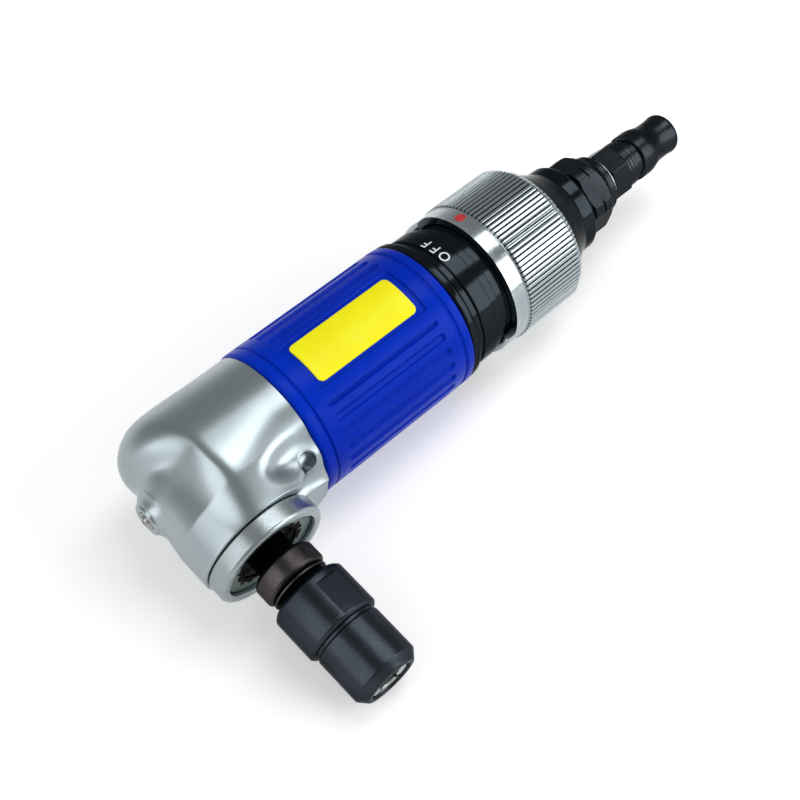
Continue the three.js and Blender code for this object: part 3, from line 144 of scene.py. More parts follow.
def wearMask(tree, given):
    edge = makeNode(tree, "ShaderNodeNewGeometry").outputs["Pointiness"]
    reach = ramp(tree, edge, given["Level"], plus(tree, given["Level"], 0.06))
    broken = ramp(tree, noiseAt(tree, given["Vector"], given["Scale"], 5.0), 0.38, 0.6)
    return times(tree, times(tree, reach, broken), given["Amount"])


def scratchMask(tree, given):
    bend = makeNode(tree, "ShaderNodeTexNoise", {"Vector": given["Vector"], "Scale": 45.0, "Detail": 2.0})
    pull = makeNode(tree, "ShaderNodeVectorMath", {0: bend.outputs["Color"], 1: (0.004, 0.004, 0.004)},
                    operation="MULTIPLY").outputs[0]
    moved = makeNode(tree, "ShaderNodeVectorMath", {0: given["Vector"], 1: pull}, operation="ADD").outputs[0]
    drawn = makeNode(tree, "ShaderNodeVectorMath", {0: moved, 1: given["Stretch"]},
                     operation="MULTIPLY").outputs[0]
    cells = makeNode(tree, "ShaderNodeTexVoronoi", {"Vector": drawn, "Scale": given["Scale"]},
                     feature="DISTANCE_TO_EDGE").outputs["Distance"]
    line = ramp(tree, cells, 0.0, 0.03, 1.0, 0.0)
    some = ramp(tree, noiseAt(tree, given["Vector"], 170.0, 3.0), 0.52, 0.66)
    return times(tree, times(tree, line, some), given["Amount"])


def nickMask(tree, given):
    cells = makeNode(tree, "ShaderNodeTexVoronoi", {"Vector": given["Vector"], "Scale": given["Scale"]})
    pick = makeNode(tree, "ShaderNodeSeparateColor", {0: cells.outputs["Color"]}).outputs[0]
    chosen = mathNode(tree, "LESS_THAN", pick, given["Share"])
    half = times(tree, given["Size"], 0.5)
    spot = ramp(tree, cells.outputs["Distance"], half, given["Size"], 1.0, 0.0)
    return times(tree, spot, chosen)


effects = {
    "grain": newGroup("grain", {"Scale": 900.0, "Detail": 4.0, "Spread": 0.2}, "Mask", grainMask),
    "turning": newGroup("turningMarks", {"Rings": 6000.0, "Waver": 0.15}, "Height", turningHeight),
    "wear": newGroup("edgeWear", {"Amount": 0.5, "Level": 0.53, "Scale": 500.0}, "Mask", wearMask),
    "scratch": newGroup("scratches", {"Scale": 120.0, "Stretch": (1.0, 0.12, 0.12), "Amount": 0.4}, "Mask",
                        scratchMask),
    "nick": newGroup("nicks", {"Scale": 350.0, "Size": 0.16, "Share": 0.12}, "Mask", nickMask)}


def effect(tree, name, **inputs):
    return makeNode(tree, "ShaderNodeGroup", inputs, node_tree=effects[name]).outputs[0]


def blendColour(tree, mask, a, b):
    return makeNode(tree, "ShaderNodeMix", {0: mask, 6: a, 7: b}, data_type="RGBA").outputs[2]


def objectVector(tree, place):
    # every piece lies in the shared frame, so its own axis is brought back to X here
    where = makeNode(tree, "ShaderNodeTexCoord").outputs["Object"]
    undo = place.inverted()
    return makeNode(tree, "ShaderNodeMapping", {"Vector": where, "Location": undo.to_translation(),
                                                "Rotation": undo.to_euler("XYZ")}).outputs[0]


def emptyTree(owner):
    owner.use_nodes = True
    owner.node_tree.nodes.clear()
    return owner.node_tree


def buildFinish(name, look, place):
    material = bpy.data.materials.new(name)
    tree = emptyTree(material)
    vector = objectVector(tree, place)
    broad = effect(tree, "grain", Vector=vector, Scale=look.get("cloud", 60.0), Detail=3.0, Spread=0.22)
    fine = effect(tree, "grain", Vector=vector, Scale=look.get("grain", 2200.0), Detail=4.0, Spread=0.25)
    wear = effect(tree, "wear", Vector=vector, Amount=look.get("wear", 0.5))
    scratch = effect(tree, "scratch", Vector=vector, Amount=look.get("scratch", 0.3),
                     Scale=look.get("scratchScale", 120.0))
    nick = effect(tree, "nick", Vector=vector, Share=look.get("nicks", 0.04),
                  Scale=look.get("nickScale", 350.0))
    colour = blendColour(tree, broad, tone(*look["colour"]), tone(*look["tint"]))
    colour = blendColour(tree, times(tree, fine, look.get("speck", 0.12)), colour, tone(*look["dirt"]))
    colour = blendColour(tree, mathNode(tree, "MAXIMUM", wear, scratch), colour, tone(*look["worn"]))
    fineShare = look.get("fineShare", 0.6)
    mixed = plus(tree, times(tree, fine, fineShare), times(tree, broad, 1 - fineShare))
    rough = ramp(tree, mixed, 0.0, 1.0, *look["rough"])
    rough = mathNode(tree, "ADD", rough, times(tree, scratch, 0.12), clamp=True)
    height = times(tree, fine, look.get("grainHeight", 0.3))
    if look.get("turning"):
        rings = effect(tree, "turning", Vector=vector, Rings=look.get("rings", 6000.0))
        height = plus(tree, height, times(tree, rings, look["turning"]))
    height = minus(tree, height, times(tree, nick, look.get("nickDepth", 1.0)))
    height = minus(tree, height, times(tree, scratch, 0.4))
    bump = makeNode(tree, "ShaderNodeBump", {"Height": height, "Strength": look.get("bump", 0.5),
                                             "Distance": look.get("relief", 0.04) * mm})
    shader = makeNode(tree, "ShaderNodeBsdfPrincipled", {
        "Base Color": colour, "Roughness": rough, "Metallic": look["metal"], "Normal": bump.outputs[0],
        "IOR": look.get("ior", 1.5), "Coat Weight": look.get("coat", 0.0),
        "Coat Roughness": look.get("coatRough", 0.1), "Specular IOR Level": look.get("specular", 0.5),
        "Specular Tint": look.get("edge", (1.0, 1.0, 1.0, 1.0))})
    makeNode(tree, "ShaderNodeOutputMaterial", {"Surface": shader.outputs[0]})
    return material


# how much of its shine a blackened metal keeps at a glancing angle
darkEdge = (0.5, 0.5, 0.5, 1.0)

looks = {
    "castAluminium": dict(
        colour=(157, 167, 171), tint=(149, 160, 164), worn=(196, 203, 206), dirt=(124, 131, 134), metal=1.0,
        rough=(0.27, 0.33), cloud=45.0, grain=2600.0, grainHeight=0.25, bump=0.03, relief=0.008,
        fineShare=0.1, wear=0.08, scratch=0.04, nicks=0.003, nickScale=180.0, nickDepth=0.5, speck=0.05),
    "turnedAluminium": dict(
        colour=(163, 172, 176), tint=(156, 166, 170), worn=(206, 211, 213), dirt=(112, 118, 121), metal=1.0,
        rough=(0.13, 0.2), cloud=70.0, turning=0.8, rings=5200.0, grainHeight=0.2, bump=0.14, relief=0.01,
        wear=0.4, scratch=0.12, nicks=0.015, speck=0.06),
    "shieldZinc": dict(
        colour=(112, 130, 126), tint=(94, 111, 107), worn=(156, 166, 164), dirt=(30, 34, 34), metal=0.85,
        rough=(0.34, 0.5), cloud=90.0, turning=0.5, bump=0.25, relief=0.02, wear=0.3, scratch=0.2,
        specular=0.1, ior=1.15),
    "brownedSteel": dict(
        colour=(72, 69, 68), tint=(56, 53, 53), worn=(112, 108, 107), dirt=(28, 24, 24), metal=1.0,
        rough=(0.26, 0.42), cloud=110.0, turning=0.6, bump=0.25, relief=0.02, wear=0.6, nicks=0.05,
        specular=0.1, ior=1.15, edge=darkEdge),
    "blackedSteel": dict(
        colour=(54, 59, 66), tint=(43, 48, 55), worn=(118, 121, 126), dirt=(22, 26, 30), metal=1.0,
        rough=(0.27, 0.37), cloud=80.0, turning=0.35, bump=0.1, relief=0.015, wear=0.3, scratch=0.12,
        nicks=0.02, edge=darkEdge),
    "blackPlug": dict(
        colour=(44, 48, 52), tint=(36, 40, 43), worn=(96, 99, 104), dirt=(20, 22, 24), metal=1.0,
        rough=(0.2, 0.3), cloud=90.0, turning=0.7, rings=4200.0, bump=0.14, relief=0.012, wear=0.25,
        scratch=0.12, nicks=0.03, edge=darkEdge),
    "blackAnodised": dict(
        colour=(39, 44, 48), tint=(32, 37, 41), worn=(88, 92, 96), dirt=(24, 27, 29), metal=1.0,
        rough=(0.1, 0.17), cloud=80.0, turning=0.5, rings=5600.0, grainHeight=0.15, bump=0.1, relief=0.01,
        wear=0.15, scratch=0.06, nicks=0.015, edge=darkEdge),
    "brushedAluminium": dict(
        colour=(158, 167, 170), tint=(148, 158, 161), worn=(198, 204, 206), dirt=(112, 118, 121), metal=1.0,
        rough=(0.26, 0.36), turning=1.0, rings=4200.0, grainHeight=0.2, bump=0.3, relief=0.012, wear=0.3,
        scratch=0.1, nicks=0.01, speck=0.06),
    "bluePlastic": dict(
        colour=(0, 46, 182), tint=(0, 40, 172), worn=(14, 80, 214), dirt=(0, 26, 120), metal=0.0,
        rough=(0.22, 0.3), cloud=50.0, grain=2600.0, grainHeight=0.3, bump=0.12, relief=0.012, wear=0.06,
        scratch=0.06, nicks=0.01, speck=0.05, specular=0.15, ior=1.25),
    "yellowLabel": dict(
        colour=(244, 238, 22), tint=(240, 230, 12), worn=(250, 246, 120), dirt=(190, 170, 20), metal=0.0,
        rough=(0.3, 0.42), cloud=80.0, grain=3000.0, bump=0.12, relief=0.01, wear=0.2, scratch=0.1,
        speck=0.04, specular=0.15),
    "redPaint": dict(
        colour=(196, 14, 26), tint=(168, 6, 20), worn=(226, 80, 84), dirt=(110, 0, 8), metal=0.0,
        rough=(0.18, 0.3), cloud=400.0, bump=0.4, relief=0.03, wear=0.2, coat=0.5, coatRough=0.08),
    "whiteInk": dict(
        colour=(236, 238, 240), tint=(220, 223, 226), worn=(196, 200, 204), dirt=(150, 152, 156), metal=0.0,
        rough=(0.4, 0.55), cloud=300.0, bump=0.2, relief=0.01, wear=0.2, scratch=0.35, scratchScale=500.0),
    "colletSteel": dict(
        colour=(186, 196, 190), tint=(160, 170, 165), worn=(226, 230, 228), dirt=(50, 56, 54), metal=1.0,
        rough=(0.26, 0.4), cloud=160.0, turning=0.6, bump=0.25, relief=0.02, scratch=0.2),
    "groundSteel": dict(
        colour=(190, 192, 194), tint=(168, 171, 174), worn=(228, 229, 230), dirt=(84, 86, 88), metal=1.0,
        rough=(0.18, 0.32), turning=0.5, bump=0.2, relief=0.02, scratch=0.2),
    "nickel": dict(
        colour=(166, 167, 165), tint=(138, 137, 134), worn=(210, 210, 206), dirt=(60, 38, 24), metal=1.0,
        rough=(0.22, 0.36), cloud=300.0, turning=0.5, bump=0.3, relief=0.02, scratch=0.2),
    "blackRubber": dict(
        colour=(30, 30, 31), tint=(22, 22, 23), worn=(62, 62, 64), dirt=(46, 44, 42), metal=0.0,
        rough=(0.55, 0.75), grain=1500.0, bump=0.4, relief=0.03, scratch=0.1),
    "vaneFibre": dict(
        colour=(150, 112, 74), tint=(128, 92, 58), worn=(184, 150, 110), dirt=(70, 46, 26), metal=0.0,
        rough=(0.5, 0.7), grain=1100.0, bump=0.4, relief=0.03),
    "greyFelt": dict(
        colour=(120, 121, 122), tint=(98, 99, 101), worn=(150, 150, 150), dirt=(60, 60, 60), metal=0.0,
        rough=(0.85, 0.98), grain=1400.0, grainHeight=1.0, bump=0.9, relief=0.12, scratch=0.0, speck=0.4),
}
finishes = {}


def finish(name, place):
    key = name + ("Spindle" if place is spindleFrame else "Barrel")
    if key not in finishes:
        finishes[key] = buildFinish(key, looks[name], place)
    return finishes[key]


def coveredFinish(name, lookName, cover, place, maskMaker):
    # a look with a second one laid over it where the mask says
    look = looks[lookName]
    material = buildFinish(name, look, place)
    tree = material.node_tree
    shader = next(n for n in tree.nodes if n.type == "BSDF_PRINCIPLED")
    vector = objectVector(tree, place)
    mask = maskMaker(tree, vector, *stationAndRadius(tree, vector))
    clean = shader.inputs["Base Color"].links[0].from_socket
    tree.links.new(blendColour(tree, mask, clean, cover["colour"]), shader.inputs["Base Color"])
    plain = shader.inputs["Roughness"].links[0].from_socket
    rough = makeNode(tree, "ShaderNodeMix", {0: mask, 2: plain, 3: cover["rough"]}).outputs[0]
    tree.links.new(rough, shader.inputs["Roughness"])
    if cover["metal"] != look["metal"]:
        share = makeNode(tree, "ShaderNodeMix", {0: mask, 2: look["metal"], 3: cover["metal"]}).outputs[0]
        tree.links.new(share, shader.inputs["Metallic"])
    return material


# mesh helpers, all in millimetres
def eased(points, steps=4):
    # (station, radius) or (station, radius, ease): the corner is rounded over that length
    out = []
    for i, point in enumerate(points):
        here = np.array(point[:2], float)
        if len(point) < 3 or i in (0, len(points) - 1):
            out.append(here)
            continue
        ways = [np.array(points[j][:2], float) - here for j in (i - 1, i + 1)]
        lengths = [np.linalg.norm(way) for way in ways]
        cut = min(point[2], 0.48 * min(lengths))
        start, end = (here + way / length * cut for way, length in zip(ways, lengths))
        for t in np.linspace(0, 1, steps + 1):
            out.append((1 - t) ** 2 * start + 2 * t * (1 - t) * here + t ** 2 * end)
    return out


def withStations(profile, stations, gap=0.004):
    # adds a pair of rows at each station, so that a flat or a groove starts crisply there
    out = [profile[0]]
    for a, b in zip(profile[:-1], profile[1:]):
        inner = []
        for station in stations:
            for s in (station - gap, station + gap):
                if min(a[0], b[0]) < s < max(a[0], b[0]):
                    inner.append(a + (b - a) * (s - a[0]) / (b[0] - a[0]))
        inner.sort(key=lambda p: np.linalg.norm(p - a))
        out += inner + [b]
    return out


def refined(profile, step):
    out = [profile[0]]
    for a, b in zip(profile[:-1], profile[1:]):
        count = max(1, math.ceil(np.linalg.norm(b - a) / step))
        out += [a + (b - a) * (i + 1) / count for i in range(count)]
    return out


def gridFaces(rows, columns, closeRows, closeColumns=True):
    index = np.arange(rows * columns).reshape(rows, columns)
    below = index if closeRows else index[:-1]
    above = np.roll(index, -1, axis=0) if closeRows else index[1:]
    if closeColumns:
        right, aboveRight = np.roll(below, -1, axis=1), np.roll(above, -1, axis=1)
    else:
        below, above, right, aboveRight = below[:, :-1], above[:, :-1], below[:, 1:], above[:, 1:]
    return np.stack([below, right, aboveRight, above], axis=-1).reshape(-1, 4).tolist()


def aroundAxis(station, radius, angle):
    return np.stack([station, radius * np.cos(angle), radius * np.sin(angle)], axis=-1)


def turnedGrid(profile, columns=160, rule=None, angles=None):
    rows = np.array(profile, float)
    closed = rows[0, 1] > 0 and rows[-1, 1] > 0
    turn = np.linspace(0, 2 * math.pi, columns, endpoint=False) if angles is None else angles
    station, radius, angle = np.broadcast_arrays(rows[:, :1], rows[:, 1:2], turn)
    if rule:
        radius = rule(station, radius, angle)
    return aroundAxis(station, radius, angle).reshape(-1, 3), gridFaces(len(rows), len(turn), closed)


def sectorGrid(loop, start, end, columns, halfSlot=0.0):
    # a closed outline swept over part of a turn, with flat ends a set distance off the radius
    loop = np.array(loop, float)
    lean = np.arcsin(np.clip(halfSlot / np.maximum(loop[:, 1], 1e-6), -1, 1))
    share = np.linspace(0, 1, columns)
    angle = (start + lean)[:, None] * (1 - share) + (end - lean)[:, None] * share
    points = aroundAxis(np.repeat(loop[:, :1], columns, axis=1), loop[:, 1:2], angle)
    faces = gridFaces(len(loop), columns, True, False)
    index = np.arange(len(loop) * columns).reshape(len(loop), columns)
    faces += [index[::-1, 0].tolist(), index[:, -1].tolist()]
    return points.reshape(-1, 3), faces


def stackedRings(rings):
    # rings of as many points each, closed by a face at either end
    count = len(rings[0])
    last = (len(rings) - 1) * count
    caps = [list(range(last, last + count)), list(range(count))[::-1]]
    return np.concatenate(rings), gridFaces(len(rings), count, False) + caps


def joined(*shapes):
    points, faces, offset = [], [], 0
    for shapePoints, shapeFaces in shapes:
        points.append(np.asarray(shapePoints))
        faces += [[i + offset for i in face] for face in shapeFaces]
        offset += len(shapePoints)
    return np.concatenate(points), faces


def smoothShare(share):
    share = np.clip(share, 0, 1)
    return share * share * (3 - 2 * share)


def flatRule(across, sides, flatAngle, start, end):
    # material outside a hexagon or a pair of flats is taken away between two stations
    def rule(station, radius, angle):
        half = math.pi / sides
        turn = (angle - flatAngle + half) % (2 * half) - half
        reach = across / 2 / np.maximum(np.cos(turn), 1e-3)
        inside = (station >= start) & (station <= end)
        return np.where(inside, np.minimum(radius, reach), radius)
    return rule


def placed(name, data):
    thing = bpy.data.objects.new(name, data)
    scene.collection.objects.link(thing)
    return thing


def addPiece(name, shape, look, nodes, slotName, place=barrelFrame, body="housing", sharp=32.0, even=True):
    points, faces = shape
    mesh = bpy.data.meshes.new(name)
    mesh.from_pydata((np.asarray(points) * mm).tolist(), [], faces)
    mesh.transform(place)
    work = bmesh.new()
    work.from_mesh(mesh)
    bmesh.ops.remove_doubles(work, verts=work.verts, dist=1e-7)
    bmesh.ops.dissolve_degenerate(work, edges=work.edges, dist=1e-8)
    bmesh.ops.recalc_face_normals(work, faces=work.faces)
    work.to_mesh(mesh)
    work.free()
    mesh.shade_smooth()
    mesh.set_sharp_from_angle(angle=math.radians(sharp))
    mesh.materials.append(finish(look, place) if isinstance(look, str) else look)
    piece = placed(name, mesh)
    if even:
        normals = piece.modifiers.new("evenNormals", "WEIGHTED_NORMAL")
        normals.keep_sharp = True
    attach(piece, body)
    if nodes:
        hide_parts(*nodes)


def addTurned(name, piece, look, nodes, slotName, **others):
    # a piece from the lathe, with a hexagon or a pair of flats where its settings give one
    outline = refined(eased(piece["profile"]), piece.get("step", math.inf))
    outline = withStations(outline, piece.get("crisp", ()))
    rule = None
    if "flats" in piece:
        rule = flatRule(piece["across"], piece["sides"], piece["flatAngle"], *piece["flats"])
    addPiece(name, turnedGrid(outline, piece["columns"], rule), look, nodes, slotName, **others)


# the head casting
head = {
    "slices": 150, "sides": (72, 170, 130), "sideLimits": (1.75, 2.75), "columnPull": 0.6,
    "farthest": 44.0, "coarseSteps": 90, "halvings": 16,
    "radius": 21.0, "rear": 22.5, "front": 21.3, "domeStart": 3.0, "domeLength": 8.0, "domeExtra": 11.2,
    "domePower": 2.6, "backReach": 19.6, "neckRadius": 16.3, "neckTaper": 0.13, "taperStart": -12.0,
    "back": 16.9875, "backRound": 6.0, "blend": 12.0, "backBlendCut": 0.5, "lieLimit": 21.1, "lieBlend": 1.1,
    "scoopAngle": math.radians(146), "scoopStation": 17.5, "scoopReach": 22.7, "scoopOff": 5.6,
    "scoopSize": (7.5, 3.6, 3.0), "scoopBlend": 2.2,
    "holeStation": 18.5, "holeRadius": 2.6, "holeDepth": 2.5, "holeWall": 0.3, "holeFrom": 14.0,
    "lipWidth": 0.4, "lipDepth": 0.14,
    "bossRadius": 4.5, "bossEnd": -16.2, "bossFlare": 0.9, "bossBlend": 1.6,
    # the rims: how far the end ring is drawn in, where it goes and the radius it may be brought to
    "rearRim": [(0, 18.0, 16.8), (0, 22.6, 16.8), (0.5, 22.62), (0.15, 22.58)],
    "frontRim": [(0.08, -21.42), (0.25, -21.5), (0.6, -21.52), (0, -21.5, 13.4), (0, -17.0, 13.4)]}


def softUnion(a, b, blend):
    near = np.maximum(blend - np.abs(a - b), 0) / blend
    return np.minimum(a, b) - near * near * blend / 4


def softCut(body, cutter, blend):
    return -softUnion(-body, cutter, blend)


def roundedCorner(a, b, corner):
    # how far outside a place lies where two sides meet in a rounded corner
    a, b = a + corner, b + corner
    return np.hypot(np.maximum(a, 0), np.maximum(b, 0)) - corner + np.minimum(np.maximum(a, b), 0)


def headField(x, y, z):
    backShare = smoothShare(y / head["backReach"])
    across = np.hypot(y, z) / head["radius"]
    past = np.maximum(head["domeStart"] - x, 0) / (head["domeLength"] + head["domeExtra"] * backShare)
    power = head["domePower"]
    barrel = ((across ** power + past ** power) ** (1 / power) - 1) * head["radius"]
    neckRadius = head["neckRadius"] - head["neckTaper"] * np.maximum(y - head["taperStart"], 0)
    neck = roundedCorner(np.hypot(x, z) - neckRadius, y - head["back"], head["backRound"])
    body = softUnion(barrel, neck, head["blend"] * (1 - head["backBlendCut"] * backShare))
    # the fillet between the two stays inside the circle and the plane that the tool lies on
    lie = np.maximum(np.hypot(np.maximum(y, 0), z), np.abs(y * math.sin(toolTilt) + z * math.cos(toolTilt)))
    body = softCut(body, head["lieLimit"] - lie, head["lieBlend"])
    # two scoops leave a ridge between them, which carries the spanner hole
    cosine, sine = math.cos(head["scoopAngle"]), math.sin(head["scoopAngle"])
    outward, sideways = y * cosine + z * sine, y * sine - z * cosine
    long, wide, deep = head["scoopSize"]
    for off in (-head["scoopOff"], head["scoopOff"]):
        scoop = np.sqrt(((x - head["scoopStation"]) / long) ** 2 + ((sideways - off) / wide) ** 2
                        + ((outward - head["scoopReach"]) / deep) ** 2) * deep - deep
        body = softCut(body, scoop, head["scoopBlend"])
    flare = np.maximum(x - head["bossEnd"], 0) * head["bossFlare"]
    boss = np.maximum(np.hypot(y, z) - head["bossRadius"] - flare, head["bossEnd"] - x)
    return softUnion(body, np.where(x < 0, boss, np.inf), head["bossBlend"])


def rimRing(ring, along, inset, station, radius=None):
    ring = ring.copy()
    across = [i for i in range(3) if i != along]
    length = np.linalg.norm(ring[:, across], axis=1)
    ring[:, across] *= ((length - inset if radius is None else radius) / length)[:, None]
    ring[:, along] = station
    return ring


def headShape():
    share = np.linspace(0, 1, head["slices"])
    turn = (share * math.pi / 2)[:, None]
    # closer columns run through the spanner hole
    limits = (0.0, *head["sideLimits"], 2 * math.pi)
    phi = np.concatenate([np.linspace(limits[i], limits[i + 1], head["sides"][i], endpoint=False)
                          for i in range(3)])
    phi = (phi + head["columnPull"] * np.sin(phi))[None, :]
    straight = (head["front"] + head["rear"]) / 2
    centre = head["front"] + (head["rear"] - head["front"]) * share[:, None]
    centre = centre + (math.hypot(head["front"], head["rear"]) - straight) * np.sin(2 * turn)
    limit = np.minimum(head["farthest"], (centre - 0.05) / np.maximum(-np.cos(phi), 1e-3))

    def place(reach):
        distance = centre + reach * np.cos(phi)
        x = head["rear"] - distance * np.sin(turn)
        y = -head["front"] + distance * np.cos(turn)
        return x, y, reach * np.sin(phi)

    # the surface is looked for from outside inwards, then closed in on by halving
    outer, inner = limit.copy(), limit.copy()
    found = np.zeros_like(limit, bool)
    for step in np.linspace(1, 0.02, head["coarseSteps"]):
        inside = headField(*place(limit * step)) < 0
        fresh = inside & ~found
        inner[fresh] = (limit * step)[fresh]
        outer = np.where(found | fresh, outer, limit * step)
        found |= inside
    for _ in range(head["halvings"]):
        middle = (inner + outer) / 2
        inside = headField(*place(middle)) < 0
        inner, outer = np.where(inside, middle, inner), np.where(inside, outer, middle)
    x, y, z = place((inner + outer) / 2)
    # the spanner hole is sunk along the radius through its middle
    holeY, holeZ = math.cos(head["scoopAngle"]), math.sin(head["scoopAngle"])
    off = np.hypot(x - head["holeStation"], y * holeZ - z * holeY)
    depth = head["holeDepth"] * np.clip((head["holeRadius"] - off) / head["holeWall"], 0, 1)
    depth = np.where(y * holeY + z * holeZ > head["holeFrom"], depth, 0)
    lip = np.clip((head["holeRadius"] + head["lipWidth"] - off) / head["lipWidth"], 0, 1)
    lip = head["lipDepth"] * lip * (off >= head["holeRadius"])
    y, z = y - holeY * (depth + lip), z - holeZ * (depth + lip)
    rings = list(np.stack([x, y, z], axis=-1))
    rings = ([rimRing(rings[0], 0, *rim) for rim in head["rearRim"]] + rings
             + [rimRing(rings[-1], 1, *rim) for rim in head["frontRim"]])
    return np.concatenate(rings), gridFaces(len(rings), phi.size, False)


addPiece("head_casting", headShape(), "castAluminium", ["angle_housing"], "cast_aluminium", sharp=50,
         even=False)

boss = {"columns": 96, "profile": [
    (-11.0, 2.1), (-15.2, 2.1), (-15.2, 2.5, 0.1), (-16.5, 2.6, 0.25), (-16.8, 3.1, 0.2),
    (-16.8, 4.2, 0.35), (-16.2, 4.5, 0.4), (-15.2, 5.2, 0.6), (-13.6, 7.2), (-11.0, 6.4)]}
addTurned("fitting_boss", boss, "castAluminium", [], "cast_aluminium")

fitting = {"columns": 64, "profile": [
    (-12.8, 1.0), (-16.2, 1.0), (-17.2, 0.72, 0.1), (-17.48, 0.9, 0.1), (-17.48, 1.35, 0.2),
    (-17.1, 1.75, 0.15), (-16.75, 1.85, 0.1), (-16.7, 2.35, 0.15), (-16.3, 2.38, 0.1), (-16.2, 2.0),
    (-12.8, 2.0)]}
addTurned("grease_nipple", fitting, "nickel", ["grease_fitting"], "brass")
print("head casting built")


# the spindle side: cap, shield, spindle, nut and collet
cap = {"columns": 200, "profile": [
    (18.3, 9.4), (18.3, 13.0), (21.62, 13.0), (21.62, 15.4, 0.2), (21.9, 15.7, 0.25), (26.2, 15.7, 0.6),
    (27.0, 15.0, 0.7), (27.0, 13.9, 0.45), (26.75, 13.35, 0.2), (26.2, 13.2, 0.2), (24.5, 13.2),
    (24.5, 9.4)]}
addTurned("bearing_cap_ring", cap, "brushedAluminium", ["bearing_cap"], "turned_aluminium",
          place=spindleFrame)

# near-black cover: grease with painted shade on the shield, and painted shade alone on the shaft
greaseAndShade = {"colour": tone(4, 4, 5), "rough": 0.5, "metal": 0.0, "jag": 1.3, "spread": 1.2, "edge": (8.6, 8.8)}


def greaseAndShadeMask(tree, vector, station, radius):
    # black round the shaft, with a ragged edge: grease, with the shade of the recess painted into it
    cells = makeNode(tree, "ShaderNodeTexVoronoi", {"Vector": vector, "Scale": 700.0}).outputs["Color"]
    jag = makeNode(tree, "ShaderNodeSeparateColor", {0: cells}).outputs[0]
    spread = noiseAt(tree, vector, 180.0, 3.0)
    reach = plus(tree, times(tree, jag, greaseAndShade["jag"] * mm), times(tree, spread, greaseAndShade["spread"] * mm))
    return edgeMask(tree, minus(tree, radius, reach), greaseAndShade["edge"], rising=False)


shield = {"columns": 160, "step": 0.5, "profile": [(24.8, 8.4), (24.8, 12.9), (25.4, 12.9), (25.4, 8.4)]}
shieldFinish = coveredFinish("greaseAndShadeShield", "shieldZinc", greaseAndShade, spindleFrame, greaseAndShadeMask)
addTurned("greased_shield", shield, shieldFinish, ["dust_shield"], "turned_aluminium", place=spindleFrame)

# the two black edges on the shaft mark painted shade, behind the collar and in the neck
shaft = {"columns": 240, "step": 0.6, "sides": 2, "across": 16.0, "flatAngle": math.radians(41),
         "flats": (29.62, 35.58), "crisp": (29.62, 35.58), "waver": 0.6, "shadeUpTo": (29.6, 29.9),
         "shadeFrom": (37.2, 37.4), "profile": [
    (-12.9875, 0.0), (-12.9875, 3.0), (-4.9, 3.0), (-4.9, 3.8), (10.7, 3.8), (10.7, 4.2), (18.3, 4.2),
    (18.3, 5.5), (29.5, 5.5, 0.2), (29.5, 7.7, 0.2), (30.4, 8.6, 0.35), (34.9, 8.6, 0.35), (35.7, 7.8, 0.2),
    (35.7, 6.2), (36.1, 6.2), (36.12, 7.6, 0.1), (36.3, 7.85, 0.12), (36.75, 7.85, 0.12), (36.92, 7.6, 0.1),
    (36.94, 6.2), (37.1, 6.2), (37.1, 6.7), (51.7, 6.7), (52.0, 6.4), (52.0, 5.3), (38.6, 3.9), (32.0, 3.6),
    (32.0, 0.0)]}


def shaftShadeMask(tree, vector, station, radius):
    # painted shade: the shaft behind the collar and the neck in front of it are painted black
    along = plus(tree, station, times(tree, noiseAt(tree, vector, 300.0, 3.0), shaft["waver"] * mm))
    return mathNode(tree, "MAXIMUM", edgeMask(tree, along, shaft["shadeUpTo"], rising=False),
                    edgeMask(tree, along, shaft["shadeFrom"]))


# painted shade on the spindle, in the gaps behind the collar and before the nut
shaftFinish = coveredFinish("paintedShadeShaft", "brownedSteel", greaseAndShade, spindleFrame, shaftShadeMask)
addTurned("collar_spindle", shaft, shaftFinish, ["spindle"], "browned_steel", place=spindleFrame,
          body="spindle")

nut = {"columns": 300, "step": 0.8, "sides": 2, "across": 19.0, "flatAngle": math.radians(70),
       "flats": (41.2, 50.8), "crisp": (41.2, 50.8), "profile": [
    (38.6, 7.0), (38.6, 9.3, 0.2), (39.5, 10.2, 0.3), (51.2, 10.2, 0.2), (51.9, 9.45, 0.2),
    (52.0, 8.7, 0.1), (52.8, 8.7, 0.1), (53.1, 9.15, 0.15), (65.5, 9.15, 0.25), (67.8, 7.2, 0.2),
    (67.8, 6.0, 0.15), (67.3, 5.6, 0.2), (54.6, 5.6), (54.6, 6.0), (54.6, 7.0)]}
addTurned("collet_cap_nut", nut, "blackedSteel", ["collet_nut"], "blacked_steel", place=spindleFrame,
          body="nut")

jaws = {"count": 4, "columns": 24, "halfSlot": 0.45, "stemColumns": 96,
        "stem": [(38.6, 3.18), (38.6, 3.6), (52.0, 5.0), (52.0, 3.18)],
        "loop": [(52.0, 3.18), (52.0, 5.0), (54.9, 5.0), (54.9, 5.55), (66.6, 5.45, 0.15), (67.3, 5.25, 0.2),
                 (67.3, 3.5, 0.15), (67.0, 3.2, 0.15), (60.0, 3.18)]}
quarter = 2 * math.pi / jaws["count"]
jawShapes = [sectorGrid(eased(jaws["loop"]), (i + 0.5) * quarter, (i + 1.5) * quarter, jaws["columns"],
                        jaws["halfSlot"]) for i in range(jaws["count"])]
addPiece("collet_jaws", joined(turnedGrid(jaws["stem"], jaws["stemColumns"]), *jawShapes), "colletSteel",
         ["collet"], "ground_steel", place=spindleFrame, body="spindle")
print("spindle side built")


